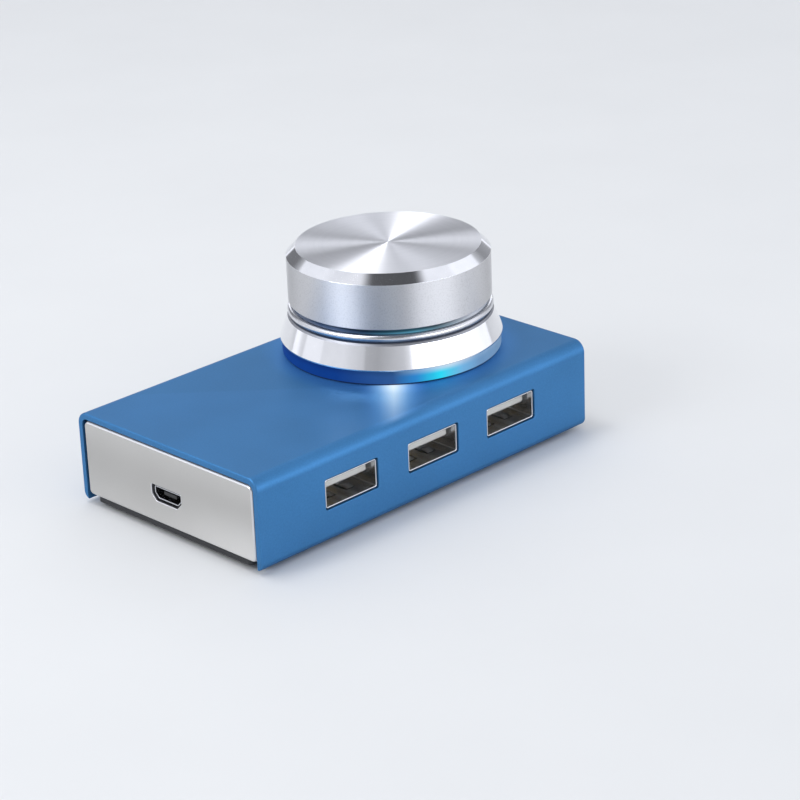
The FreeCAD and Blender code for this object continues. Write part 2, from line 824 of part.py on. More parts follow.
def encoder_pins():
    return side_pins(encoder_pin_xs, -1, board_top + encoder_pin_height)


def switch_pins():
    return side_pins(switch_pin_xs, 1, board_top + switch_pin_height)


def drive_flats(width, radius, z0, z1):
    """A round bar with two flats, as at the shaft's lower end."""
    bar = disc(knob_x, knob_y, radius, z0, z1)
    return bar.common(block_on(knob_x, knob_y, z0, (width, 4 * radius, z1 - z0)))


def encoder_rotor():
    body = disc(knob_x, knob_y, rotor_radius, rotor_bottom, rotor_top)
    bore = drive_flats(shaft_drive_flats + 2 * touch_gap, shaft_radius + touch_gap, rotor_bottom, rotor_top)
    notch = block(knob_x + detent_finger_inner - touch_gap, knob_x + rotor_radius + touch_gap,
                  knob_y - notch_width / 2, knob_y + notch_width / 2, rotor_top - notch_depth, rotor_top)
    notches = [turned_about_knob(notch, 360 * i / notch_count) for i in range(notch_count)]
    return drilled(body, [bore] + notches)


def rotor_wipers():
    arm = block_on(knob_x + rotor_radius - wiper_inset, knob_y, rotor_bottom - wiper_size[2], wiper_size)
    return [turned_about_knob(arm, 360 * i / wiper_count) for i in range(wiper_count)]


def detent_spring():
    ring = tube(knob_x, knob_y, detent_ring_outer, detent_ring_inner,
                encoder_base_top - detent_sheet, encoder_base_top)
    finger_low = rotor_top - notch_depth + touch_gap
    half = notch_width / 2 - touch_gap
    finger = block(knob_x + detent_finger_inner, knob_x + detent_finger_outer, knob_y - half, knob_y + half,
                   finger_low, encoder_base_top)
    return joined([ring, finger, turned_about_knob(finger, 180)])


def encoder_bush():
    body = joined([encoder_block(encoder_base_top, encoder_top),
                   disc(knob_x, knob_y, bush_radius, encoder_top, encoder_top + bush_length)])
    recess = disc(knob_x, knob_y, clip_radius + clip_recess_gap, encoder_base_top,
                  encoder_base_top + clip_recess_depth)
    bore = disc(knob_x, knob_y, shaft_radius + running_clearance, encoder_base_top,
                encoder_top + bush_length)
    return drilled(body, [recess, bore])


def bracket_legs():
    legs = []
    for side in (-1, 1):
        xs = sorted((knob_x + side * encoder_side / 2, knob_x + side * (encoder_side / 2 + bracket_sheet)))
        half = bracket_leg_width / 2
        legs.append(block(xs[0], xs[1], knob_y - half, knob_y + half, pin_bottom, board_top))
    return legs


def encoder_bracket():
    half = encoder_side / 2 + bracket_sheet
    strap = block_on(knob_x, knob_y, board_top,
                     (2 * half, bracket_width, encoder_top + bracket_sheet - board_top))
    inside = block_on(knob_x, knob_y, board_top, (encoder_side, 2 * bracket_width, encoder_top - board_top))
    hole = disc(knob_x, knob_y, bush_radius + touch_gap, encoder_top, encoder_top + bracket_sheet)
    return joined([drilled(strap, [inside, hole])] + bracket_legs())


def shaft_clip():
    ring = tube(knob_x, knob_y, clip_radius, clip_groove_radius + touch_gap, clip_top - clip_sheet, clip_top)
    mouth = block(knob_x - clip_mouth / 2, knob_x + clip_mouth / 2, knob_y, knob_y + clip_radius + 1,
                  clip_top - clip_sheet, clip_top)
    return ring.cut(mouth)


def encoder_shaft():
    shoulder = rotor_top + press_travel + 2 * touch_gap
    lower = drive_flats(shaft_drive_flats, shaft_radius, shaft_bottom, shoulder)
    upper = disc(knob_x, knob_y, shaft_radius, shoulder, shaft_top)
    groove = tube(knob_x, knob_y, shaft_radius + 1, clip_groove_radius,
                  clip_top - clip_sheet - thread_clearance, clip_top + thread_clearance)
    flat = block(knob_x - shaft_radius, knob_x + shaft_radius, knob_y + shaft_flat, knob_y + 2 * shaft_radius,
                 shaft_top - shaft_flat_length, shaft_top)
    return drilled(joined([lower, upper]), [groove, flat])


# ---- ring stack on the case ----

def ring_gasket():
    inner = gasket_outer_radius - gasket_width
    return tube(knob_x, knob_y, gasket_outer_radius, inner, case_top, gasket_top)


def light_ring():
    b = light_ring_bevel
    return turned((light_ring_inner_radius, gasket_top),
                  [(light_ring_radius - b, gasket_top), (light_ring_radius, gasket_top + b),
                   (light_ring_radius, light_ring_top), (light_ring_inner_radius, light_ring_top)],
                  knob_x, knob_y)


def flare_ring():
    low = light_ring_top
    centre = bead_reach - bead_radius
    bead_start = (centre + bead_radius * math.cos(bead_turn), bead_middle - bead_radius * math.sin(bead_turn))
    groove_middle = (groove_radius, (cone_top + bead_start[1]) / 2)
    dish_top_radius = centre - flare_top_flat
    dish_radius = dish_top_radius - flare_dish_width
    web_top = flare_top - flare_dish_depth
    web_bottom = web_top - flare_web
    body = turned((flare_inner_radius, low),
                  [(flare_radius, low), (flare_radius, low + flare_land), (flare_neck_radius, cone_top),
                   groove_middle + bead_start, (bead_reach, bead_middle, centre, flare_top),
                   (dish_top_radius, flare_top), (dish_radius, web_top), (flare_hole_radius, web_top),
                   (flare_hole_radius, web_bottom), (flare_inner_radius, web_bottom)], knob_x, knob_y)
    bosses = [disc(x, y, boss_radius, light_board_top, web_bottom) for x, y in boss_places]
    bores = [disc(x, y, ring_screw_radius + thread_clearance, light_board_top,
                  light_board_top + ring_screw_grip + blind_hole_spare) for x, y in boss_places]
    return drilled(joined([body] + bosses), bores)


def ring_screw(x, y):
    head = disc(x, y, ring_screw_head_radius, ceiling - ring_screw_head_height, ceiling)
    shank = disc(x, y, ring_screw_radius, ceiling, light_board_top + ring_screw_grip)
    return joined([head, shank])


def light_board():
    hole_radius = bush_hole_radius + light_board_hole_gap
    board = tube(knob_x, knob_y, light_board_radius, hole_radius, case_top, light_board_top)
    holes = [disc(x, y, ring_screw_radius + screw_clearance, case_top, light_board_top)
             for x, y in boss_places]
    side = link_pin_side + 2 * slot_clearance
    holes += [block_on(link_x, y, case_top, (side, side, light_board_thickness)) for y in link_ys]
    return drilled(board, holes)


def ring_leds():
    led = block_on(knob_x + led_circle, knob_y, light_board_top, led_size)
    return [turned_about_knob(led, 360 * (i + 0.5) / led_count) for i in range(led_count)]


def link_pins():
    return [block_on(link_x, y, pin_bottom,
                     (link_pin_side, link_pin_side, light_board_top + pin_tail - pin_bottom))
            for y in link_ys]


def link_block():
    length = link_pitch * link_pin_count
    body = block_on(link_x, knob_y, board_top, (link_pitch, length, link_block_height))
    return drilled(body, link_pins())


# ---- knob ----

def knob_cap():
    skirt_radius = knob_radius - knob_skirt
    roof = knob_top - knob_roof
    boss_low = knob_bottom + knob_boss_lift
    return turned((knob_radius - knob_bottom_bevel, knob_bottom),
                  [(knob_radius, knob_bottom + knob_bottom_bevel),
                   (knob_radius, knob_top - knob_chamfer_height), (knob_top_radius, knob_top),
                   (0, knob_top), (0, hub_top), (hub_radius, hub_top), (hub_radius, boss_low),
                   (knob_boss_radius, boss_low), (knob_boss_radius, roof), (skirt_radius, roof),
                   (skirt_radius, knob_bottom)], knob_x, knob_y)


def knob_hub():
    body = disc(knob_x, knob_y, hub_radius - thread_clearance, knob_bottom + hub_lift, hub_top)
    bore = disc(knob_x, knob_y, shaft_radius + thread_clearance, knob_bottom + hub_lift, hub_top - hub_roof)
    flat_y = knob_y + shaft_flat + hub_spring_sheet + 2 * thread_clearance
    flat = block(knob_x - hub_radius, knob_x + hub_radius, flat_y, knob_y + hub_radius,
                 knob_bottom + hub_lift, hub_top)
    return body.cut(bore.cut(flat))


def hub_spring():
    y = knob_y + shaft_flat + thread_clearance
    middle_z = (shaft_top - shaft_flat_length + hub_top) / 2
    return block(knob_x - hub_spring_width / 2, knob_x + hub_spring_width / 2, y, y + hub_spring_sheet,
                 middle_z - hub_spring_length / 2, middle_z + hub_spring_length / 2)


# ---- export ----

def group(solids):
    return Part.makeCompound(solids)


def all_nodes():
    nodes = {
        "housing_shell": housing_shell(),
        "base_plate": base_plate(),
        "left_end_panel": left_end_panel(),
        "right_end_panel": right_end_panel(),
        "rubber_feet": group([rubber_foot(x, y) for x, y in foot_places]),
        "base_screws": group([base_screw(x, y) for x, y in post_places]),
        "lower_posts": group([lower_post(x, y) for x, y in post_places]),
        "upper_posts": group([upper_post(x, y) for x, y in post_places]),
        "main_board": main_board(),
        "micro_usb_shell": micro_usb_shell(),
        "micro_usb_tongue": micro_usb_tongue(),
        "micro_usb_contacts": group(micro_contacts()),
        "hub_chip": hub_chip(),
        "hub_chip_leads": group(hub_chip_leads()),
        "controller_chip": controller_chip(),
        "controller_leads": group(controller_leads()),
        "crystal_can": crystal_can(),
        "regulator_chip": regulator_chip(),
        "chip_capacitors": group(small_parts()),
        "reservoir_capacitors": group([reservoir_can(x, y) for x, y in reservoir_spots]),
        "switch_case": switch_case(),
        "switch_dome": switch_dome(),
        "switch_pins": group(switch_pins()),
        "switch_plunger": switch_plunger(),
        "encoder_base": encoder_base(),
        "encoder_pins": group(encoder_pins()),
        "encoder_rotor": encoder_rotor(),
        "rotor_wipers": group(rotor_wipers()),
        "detent_spring": detent_spring(),
        "encoder_bush": encoder_bush(),
        "encoder_bracket": encoder_bracket(),
        "encoder_shaft": encoder_shaft(),
        "shaft_clip": shaft_clip(),
        "ring_gasket": ring_gasket(),
        "light_ring": light_ring(),
        "flare_ring": flare_ring(),
        "ring_screws": group([ring_screw(x, y) for x, y in boss_places]),
        "light_board": light_board(),
        "ring_leds": group(ring_leds()),
        "link_pins": group(link_pins()),
        "link_block": link_block(),
        "knob_cap": knob_cap(),
        "knob_hub": knob_hub(),
        "hub_spring": hub_spring(),
    }
    for number, x in enumerate(port_places, start=1):
        nodes[f"usb_a_shell_{number}"] = usb_a_shell(x)
        nodes[f"usb_a_tongue_{number}"] = usb_a_tongue(x)
        nodes[f"usb_a_contacts_{number}"] = group(usb_a_contacts(x))
    return nodes


os.makedirs("parts", exist_ok=True)
for name, shape in all_nodes().items():
    shape.exportStep(f"parts/{name}.step")
    print(f"{name}: {len(shape.Solids)} solids, {shape.Volume:.2f} mm3, valid {shape.isValid()}")
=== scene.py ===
import json
import math

import bmesh
import bpy
from mathutils import Matrix, Vector


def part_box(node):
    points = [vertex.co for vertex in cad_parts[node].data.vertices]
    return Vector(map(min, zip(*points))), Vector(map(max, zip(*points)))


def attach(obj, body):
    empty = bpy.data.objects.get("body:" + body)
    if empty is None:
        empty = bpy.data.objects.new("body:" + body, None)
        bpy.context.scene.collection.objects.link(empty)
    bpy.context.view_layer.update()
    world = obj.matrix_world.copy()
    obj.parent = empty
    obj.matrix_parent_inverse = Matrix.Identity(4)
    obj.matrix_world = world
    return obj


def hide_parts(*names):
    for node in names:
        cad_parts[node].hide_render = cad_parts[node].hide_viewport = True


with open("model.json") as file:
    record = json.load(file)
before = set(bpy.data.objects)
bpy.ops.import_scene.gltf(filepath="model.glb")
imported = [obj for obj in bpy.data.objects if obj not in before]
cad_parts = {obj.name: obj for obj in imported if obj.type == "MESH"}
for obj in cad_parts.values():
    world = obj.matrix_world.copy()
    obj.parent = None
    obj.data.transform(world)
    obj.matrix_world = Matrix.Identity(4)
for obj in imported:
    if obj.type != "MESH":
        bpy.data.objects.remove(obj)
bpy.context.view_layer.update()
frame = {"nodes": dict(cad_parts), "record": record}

# Looks of a desk volume control: a blue case with a big turned knob, a light ring and USB sockets.
# Metres. X runs along the case, the USB-A sockets face -Y and the micro-USB inlet faces -X.

mm = 0.001

# Case
case_wall = 1.2 * mm
case_edge_radius = 2.5 * mm  # the two upper long edges
case_foot_radius = 1.55 * mm  # the two lower long edges
case_end_rounding = 0.3 * mm
lip_width = 3.2 * mm
lip_setback = 2.5 * mm  # the lips stop this far before the case's ends
lip_edge_rounding = 0.15 * mm
cut_edge_rounding = 0.16 * mm  # edges of the holes cut into the case and the end plates
bush_hole_radius = 4.3 * mm
link_slot_size = (1.84 * mm, 9.46 * mm)
link_slot_offset = -9.5 * mm  # from the knob's axis
window_end_margin = 5 * mm  # no socket window comes nearer to the case's ends
window_edge_margin = 3 * mm  # nor nearer to its long edges

# End plates
plate_thickness = 1.5 * mm
plate_corner_radius = 1.0 * mm
plate_side_gap = 0.5 * mm
plate_bevel = 0.25 * mm
plate_bevel_rounding = 0.04 * mm
plate_foot_thickness = 1.2 * mm
inlet_window_reach = 8 * mm  # the inlet's window lies this near the plate's middle

# USB-A sockets
socket_numbers = (1, 2, 3)
socket_height = 5.7 * mm
socket_sheet = 0.3 * mm
socket_corner_radius = 0.5 * mm
socket_inner_corner_share = 0.8  # of the sheet, taken off the corner radius inside
socket_gap = 0.2 * mm
socket_depth = 14.0 * mm
leg_places = (0.4, 0.8)  # shares of the socket's depth
leg_half_width = 0.8 * mm
leaf_spread = 2.5 * mm  # of the spring leaves, from the socket's middle
leaf_half_width = 1 * mm
leaf_setback = 3 * mm  # of their tips, from the socket's mouth
leaf_length = 5 * mm
leaf_root_overlap = 0.05 * mm
leaf_slit = 0.2 * mm
leaf_slit_reach = 0.6 * mm
leaf_dip = 0.35 * mm
leaf_bend_length = 3.5 * mm
leaf_tip_length = 1.5 * mm  # the part that bends back out

# Micro-USB inlet
inlet_sheet = 0.25 * mm
inlet_corner = 1.05 * mm  # cut-off lower corners
inlet_rounding = 0.32 * mm
inlet_inner_corner_share = 0.5  # of the sheet, taken off the rounding inside
inlet_gap = 0.35 * mm
inlet_window_rounding = 0.3 * mm

# Feet
foot_radius = 4 * mm
foot_rounding = 0.35 * mm

# Ring stack under the knob
flare_land = 0.25 * mm
flare_base_rounding = 0.05 * mm
flare_foot_rounding = 0.3 * mm
flare_cone_height = 4.25 * mm
flare_cone_run = 1.62 * mm
neck_rounding = 0.06 * mm
groove_depth = 0.38 * mm
groove_rounding = 0.2 * mm
bead_radius = 0.75 * mm
bead_setback = 0.03 * mm
bead_turn = math.radians(35)  # how far the bead reaches down under its widest place
bead_dull_shaded_below = -0.2  # radians under that place; below it the bead gets the dull finish with painted shade
bead_steps = 10
flare_inner_step = 2.9 * mm  # from the widest radius in to the inner wall
flare_top_flat = 0.25 * mm
dish_depth = 0.65 * mm
dish_width = 1.6 * mm
dish_rim_rounding = 0.08 * mm
dish_foot_rounding = 0.3 * mm
flare_web = 1.2 * mm
flare_hole_radius = 8.0 * mm
flare_hole_rounding = 0.1 * mm
boss_count = 3
boss_radius = 2.6 * mm
boss_rounding = 0.1 * mm
boss_circle = 13.5 * mm
boss_bore = 1.24 * mm
boss_bore_depth = 4.15 * mm
light_board_top = 19.8 * mm
light_ring_width = 2.4 * mm
light_ring_foot_rounding = 0.25 * mm
light_ring_top_rounding = 0.05 * mm
gasket_width = 1.6 * mm
gasket_foot_rounding = 0.08 * mm
gasket_top_rounding = 0.05 * mm

# Knob
knob_chamfer_width = 1.85 * mm
knob_chamfer_height = 1.8 * mm
knob_bottom_bevel = 0.15 * mm
knob_edge_rounding = 0.07 * mm
knob_skirt = 2.5 * mm
knob_skirt_rounding = 0.2 * mm
knob_roof = 4.0 * mm
knob_roof_rounding = 0.3 * mm
knob_boss_radius = 9.0 * mm
knob_boss_lift = 0.8 * mm
knob_boss_rounding = 0.2 * mm
knob_socket_radius = 6.0 * mm
knob_socket_roof = 2.4 * mm

# Making of the meshes
lathe_turns = 224
arc_step = math.radians(11)
end_steps = 4  # sections of a rounded end edge
lip_steps = 8  # sections of a sheet's rounded lip
edge_steps = 3
sharp_edge = 0.7  # radians between two faces; edges above it are softened
crease = math.radians(40)  # edges above it stay sharp in smooth shading
overshoot = 1 * mm  # how far a cut or a joined piece runs past its face
touching = 1e-6  # a point this near a face lies on it

# Directions. Bearings are counted from the front corner, which lies between the sockets and the inlet,
# anticlockwise seen from above: the sockets' side (-Y) is at about 44 degrees, the plain end (+X) at 134.
corner_turn = math.radians(-44.43)  # of the front corner, from the sockets' side
towards_corner = Vector((math.sin(corner_turn), -math.cos(corner_turn), 0))
beside_corner = Vector((math.cos(corner_turn), math.sin(corner_turn), 0))

case_low, case_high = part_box("housing_shell")
knob_low, knob_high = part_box("knob_cap")
flare_low, flare_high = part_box("flare_ring")
ring_low, ring_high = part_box("light_ring")
gasket_low, gasket_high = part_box("ring_gasket")
knob_axis = Vector(((knob_low.x + knob_high.x) / 2, (knob_low.y + knob_high.y) / 2, 0))
ring_radius = (ring_high.x - ring_low.x) / 2
flare_radius = (flare_high.x - flare_low.x) / 2
neck_radius = flare_radius - flare_cone_run
bead_centre = neck_radius - bead_setback - bead_radius
dish_outer = bead_centre - flare_top_flat
dish_inner = dish_outer - dish_width


# ---- shader building ----

class Wire:
    """An output of a node. Python's operators on it add the nodes that work the sum out."""

    def __init__(self, graph, socket):
        self.graph = graph
        self.socket = socket

    @property
    def spatial(self):
        return self.socket.type in ("VECTOR", "RGBA")

    def __add__(self, other):
        return self.graph.combine("ADD", self, other)

    def __radd__(self, other):
        return self.graph.combine("ADD", other, self)

    def __sub__(self, other):
        return self.graph.combine("SUBTRACT", self, other)

    def __rsub__(self, other):
        return self.graph.combine("SUBTRACT", other, self)

    def __mul__(self, other):
        return self.graph.combine("MULTIPLY", self, other)

    def __rmul__(self, other):
        return self.graph.combine("MULTIPLY", other, self)

    def __truediv__(self, other):
        return self.graph.combine("DIVIDE", self, other)

    def dot(self, other):
        return self.graph.add("ShaderNodeVectorMath", {"operation": "DOT_PRODUCT"},
                              {0: self, 1: other}, "Value")

    def part(self, axis):
        """Its "X", "Y" or "Z"."""
        return self.graph.add("ShaderNodeSeparateXYZ", {}, {0: self}, axis)

    def size(self):
        """The number without its sign."""
        return self.graph.add("ShaderNodeMath", {"operation": "ABSOLUTE"}, {0: self})

    def between(self, low, high):
        """0 at low and 1 at high, turning smoothly."""
        return self.graph.add("ShaderNodeMapRange", {"interpolation_type": "SMOOTHSTEP"},
                              {0: self, 1: low, 2: high, 3: 0.0, 4: 1.0})

    def mix(self, low, high):
        """The colour low where this is 0, high where it is 1. Sockets 6, 7 and output 2 are for colours."""
        return self.graph.add("ShaderNodeMix", {"data_type": "RGBA"}, {0: self, 6: low, 7: high}, 2)

    def ramp(self, stops, interpolation="LINEAR"):
        settings = {"stops": stops, "interpolation": interpolation}
        return self.graph.add("ShaderNodeValToRGB", settings, {0: self})


class Graph:
    """The nodes of one material or of the world."""

    def __init__(self, tree):
        self.tree = tree
        tree.nodes.clear()

    def add(self, kind, settings, sockets, output=0):
        """A node of that type, with its settings made before its sockets are filled."""
        node = self.tree.nodes.new(kind)
        settings = dict(settings)
        stops = settings.pop("stops", None)
        if stops:
            node.color_ramp.interpolation = settings.pop("interpolation")
            self.fill_ramp(node.color_ramp, stops)
        for name, value in settings.items():
            setattr(node, name, value)
        for name, value in sockets.items():
            self.plug(node.inputs[name], value)
        return Wire(self, node.outputs[output]) if node.outputs else None

    def fill_ramp(self, ramp, stops):
        for place, colour in stops[1:-1]:
            ramp.elements.new(place).color = (*colour, 1)
        for element, (place, colour) in ((ramp.elements[0], stops[0]), (ramp.elements[-1], stops[-1])):
            element.position = place
            element.color = (*colour, 1)

    def plug(self, socket, value):
        if isinstance(value, Wire):
            self.tree.links.new(value.socket, socket)
        elif socket.type == "RGBA":
            socket.default_value = (*value, 1)
        elif socket.type == "VECTOR" and isinstance(value, (int, float)):
            socket.default_value = (value, value, value)
        else:
            socket.default_value = value

    def combine(self, operation, left, right):
        spatial = any(isinstance(side, (tuple, Vector)) or getattr(side, "spatial", False)
                      for side in (left, right))
        kind = "ShaderNodeVectorMath" if spatial else "ShaderNodeMath"
        return self.add(kind, {"operation": operation}, {0: left, 1: right})

    def place(self):
        """The point on the piece, in metres, moving with it."""
        return self.add("ShaderNodeTexCoord", {}, {}, "Object")

    def noise(self, size, detail):
        """Soft blotches about size across, from 0 to 1."""
        return self.add("ShaderNodeTexNoise", {},
                        {"Vector": self.place(), "Scale": 1 / size, "Detail": detail})

    def from_knob(self):
        """The point counted from the foot of the knob's axis."""
        return self.place() - knob_axis

    def radius(self, offset):
        """How far the end of an offset lies from the upright axis through its start."""
        x, y = offset.part("X"), offset.part("Y")
        return self.add("ShaderNodeMath", {"operation": "SQRT"}, {0: x * x + y * y})

    def bearing(self, offset):
        """Which way an offset points, from 0 to 1 round the axis, with the front corner at 0.5."""
        turn = self.add("ShaderNodeMath", {"operation": "ARCTAN2"},
                        {0: offset.dot(beside_corner), 1: offset.dot(towards_corner)})
        return turn / (2 * math.pi) + 0.5

    def rings(self, pitch):
        """Fine turning marks, which change with the height and the distance from the knob's axis."""
        offset = self.from_knob()
        return self.add("ShaderNodeTexNoise", {"noise_dimensions": "1D"},
                        {"W": self.radius(offset) + offset.part("Z"), "Scale": 1 / pitch, "Detail": 3.0})

    def bump(self, height, depth, strength):
        return self.add("ShaderNodeBump", {}, {"Height": height, "Distance": depth, "Strength": strength})


def material(name, sockets):
    """A material whose sockets come from a function of its graph."""
    made = bpy.data.materials.new(name)
    made.use_nodes = True
    graph = Graph(made.node_tree)
    surface = graph.add("ShaderNodeBsdfPrincipled", {}, sockets(graph))
    graph.add("ShaderNodeOutputMaterial", {}, {"Surface": surface})
    return made


def srgb(red, green, blue):
    """A colour given as it looks on a screen, 0 to 255."""
    return tuple(c / 255 / 12.92 if c <= 10 else ((c / 255 + 0.055) / 1.055) ** 2.4
                 for c in (red, green, blue))


def scaled(colour, share):
    return tuple(c * share for c in colour)


# ---- finishes ----

def around(*stops):
    """Ramp stops from (degrees from the front corner, colour)."""
    return [(degrees / 360 + 0.5, colour) for degrees, colour in stops]


def at_steps(length, *stops):
    """Ramp stops from (distance, colour), for a value that is a share of length."""
    return [(distance / length, colour) for distance, colour in stops]


# Painted light on the case in front, standing for what the brightest diode throws there: how it thins out
# sideways and forwards
painted_plume_width = 7 * mm
painted_plume_aside = at_steps(painted_plume_width, (0, (1, 1, 1)), (1.3 * mm, (0.6, 0.72, 0.85)),
                       (2.8 * mm, (0.16, 0.32, 0.55)), (4.8 * mm, (0.02, 0.05, 0.15)),
                       (painted_plume_width, (0, 0, 0)))
painted_plume_reach = 21 * mm
painted_plume_forward = at_steps(painted_plume_reach, (0, (0.95, 1, 0.9)), (4 * mm, (0.5, 0.62, 0.66)),
                         (11 * mm, (0.25, 0.34, 0.46)), (painted_plume_reach, (0.02, 0.04, 0.06)))
# How far the painted blue halo round the light ring reaches over the case top
painted_halo_reach = 5 * mm


def blasted_blue_case():
    """Sand-blasted and dyed aluminium, with painted light on it: emission that stands for the glow that the
    light ring throws on it.
    """
    def sockets(g):
        grain = g.noise(0.16 * mm, 3)
        pits = g.noise(0.33 * mm, 2)
        cloud = g.noise(19 * mm, 2)
        colour = srgb(67, 127, 180)
        tint = cloud.between(0.3, 0.7).mix(scaled(colour, 0.96), scaled(colour, 1.04))
        shade = 0.82 + 0.14 * grain + 0.22 * pits
        offset = g.from_knob()
        height = offset.part("Z")
        beyond = g.radius(offset) - ring_radius
        forward = offset.dot(towards_corner)
        aside = offset.dot(beside_corner).size()
        thinning = ((forward - ring_radius) / painted_plume_reach).ramp(painted_plume_forward, "B_SPLINE")
        painted_plume = (aside / painted_plume_width).ramp(painted_plume_aside, "B_SPLINE") * thinning
        in_front = forward.between(ring_radius - 1 * mm, ring_radius)
        lit = in_front * height.between(case_high.z - 0.7 * mm, case_high.z)
        painted_halo = (1 - beyond.between(0.0, painted_halo_reach)) * height.between(case_high.z - 1 * mm, case_high.z)
        # Painted light: the plume in front and the blue halo round the ring are emission on the case top.
        glow = lit.mix((0, 0, 0), painted_plume) + painted_halo.mix((0, 0, 0), srgb(20, 50, 88))
        return {"Base Color": tint * shade, "Metallic": 0.82, "Roughness": 0.45 + 0.1 * grain,
                "Specular Tint": srgb(232, 226, 214),
                "Emission Color": glow, "Emission Strength": 1.0,
                "Normal": g.bump(grain + 0.8 * pits, 0.016 * mm, 0.6)}
    return material("blasted_blue_case", sockets)


def satin_plate():
    """Light grey anodised end plate, with painted shade that makes it a little darker in its middle and a
    painted highlight that makes it lighter low down towards the sockets' side.
    """
    def sockets(g):
        grain = g.noise(0.2 * mm, 2)
        cloud = g.noise(15 * mm, 1)
        place = g.place()
        height = (place.part("Z") - case_low.z) / (case_high.z - case_low.z)
        # Painted shade: the plate is painted a little darker in its middle.
        middle = height.between(0.0, 0.5) * (1 - height.between(0.55, 1.0))
        # Painted highlight: the plate is painted lighter low down towards the sockets' side.
        painted_highlight_low = height.between(0.7, 0.0) * place.part("Y").between(case_high.y / 3, case_low.y)
        tint = (0.6 * middle + 0.25 * cloud).mix(srgb(200, 199, 197), srgb(174, 173, 171))
        tint = painted_highlight_low.mix(tint, srgb(222, 221, 219))
        return {"Base Color": tint * (0.97 + 0.05 * grain), "Metallic": 0.15,
                "Roughness": 0.5 + 0.1 * grain, "Normal": g.bump(grain, 0.008 * mm, 0.4)}
    return material("satin_grey_plate", sockets)


def metal(name, colour, roughness, grain_size=0.3 * mm):
    """Bare or plated metal with fine grain."""
    def sockets(g):
        grain = g.noise(grain_size, 3)
        stain = g.noise(12 * grain_size, 2)
        return {"Base Color": stain.mix(scaled(colour, 0.92), colour), "Metallic": 1.0,
                "Roughness": roughness * 0.8 + roughness * 0.4 * grain,
                "Normal": g.bump(grain, 0.004 * mm, 0.5)}
    return material(name, sockets)


def spun_top():
    """The knob's top: turning marks about the axis that spread light into spokes."""
    def sockets(g):
        marks = g.rings(0.14 * mm)
        bands = g.rings(1.1 * mm)
        shine = 0.3 * marks + 0.3 * bands + 0.2
        return {"Base Color": shine.mix(srgb(214, 215, 219), srgb(240, 240, 243)),
                "Metallic": 1.0, "Roughness": 0.36 + 0.1 * marks,
                "Anisotropic": 1.0, "Anisotropic Rotation": 0.25,
                "Normal": g.bump(marks, 0.003 * mm, 0.35)}
    return material("spun_knob_top", sockets)


def blasted_silver():
    """The knob's bead-blasted side."""
    def sockets(g):
        grain = g.noise(0.27 * mm, 3)
        fine = g.noise(0.15 * mm, 2)
        shade = 0.58 + 0.56 * grain + 0.26 * fine
        return {"Base Color": shade.mix(srgb(0, 0, 0), srgb(222, 222, 224)), "Metallic": 0.97,
                "Roughness": 0.4 + 0.14 * grain, "Anisotropic": 0.95, "Anisotropic Rotation": 0.25,
                "Normal": g.bump(grain + 0.5 * fine, 0.024 * mm, 0.8)}
    return material("blasted_knob_side", sockets)


def turned(name, light, dark, roughness, marks_pitch):
    """Turned aluminium with faint tool marks round the knob's axis."""
    def sockets(g):
        marks = g.rings(marks_pitch)
        smear = g.noise(3 * mm, 2)
        return {"Base Color": smear.mix(dark, light), "Metallic": 1.0,
                "Roughness": roughness + 0.05 * marks, "Normal": g.bump(marks, 0.0012 * mm, 0.2)}
    return material(name, sockets)


# The light ring is deep blue, with one diode that shines through it, and paler next to that diode
ring_deep = srgb(10, 55, 130)
ring_low_glow = around((-180, ring_deep), (-30, ring_deep), (0, srgb(45, 85, 140)),
                       (12, srgb(45, 135, 205)), (25, srgb(40, 215, 240)), (38, srgb(115, 180, 225)),
                       (50, srgb(110, 150, 190)), (80, srgb(115, 145, 175)),
                       (120, ring_deep), (180, ring_deep))
ring_high_deep = srgb(10, 45, 110)
ring_high_glow = around((-180, ring_high_deep), (-30, ring_high_deep), (0, srgb(40, 75, 120)),
                        (15, srgb(140, 180, 215)), (30, srgb(205, 225, 240)), (48, srgb(130, 165, 200)),
                        (80, srgb(125, 150, 180)), (120, ring_high_deep), (180, ring_high_deep))
# Painted light: the glow round the axis that stands for the light leaking up between the flare ring and the
# knob
dish_deep = srgb(15, 40, 70)
painted_dish_glow = around((-180, dish_deep), (-60, dish_deep), (-38, srgb(70, 90, 125)), (-18, srgb(35, 60, 90)),
                   (15, srgb(80, 145, 170)), (30, srgb(85, 115, 130)), (60, srgb(170, 175, 185)),
                   (90, srgb(80, 95, 110)), (120, dish_deep), (180, dish_deep))


def glowing_band():
    """The translucent light ring, lit from inside and brightest near one diode."""
    def sockets(g):
        offset = g.from_knob()
        turn = g.bearing(offset)
        upper = offset.part("Z").between(ring_low.z + 0.45 * (ring_high.z - ring_low.z), ring_high.z)
        cloud = g.noise(2.5 * mm, 2)
        tint = upper.mix(turn.ramp(ring_low_glow), turn.ramp(ring_high_glow))
        return {"Base Color": srgb(8, 20, 50), "Roughness": 0.4 + 0.1 * cloud, "Specular IOR Level": 0.05,
                "Emission Color": tint * (0.92 + 0.16 * cloud), "Emission Strength": 1.0}
    return material("glowing_ring_plastic", sockets)


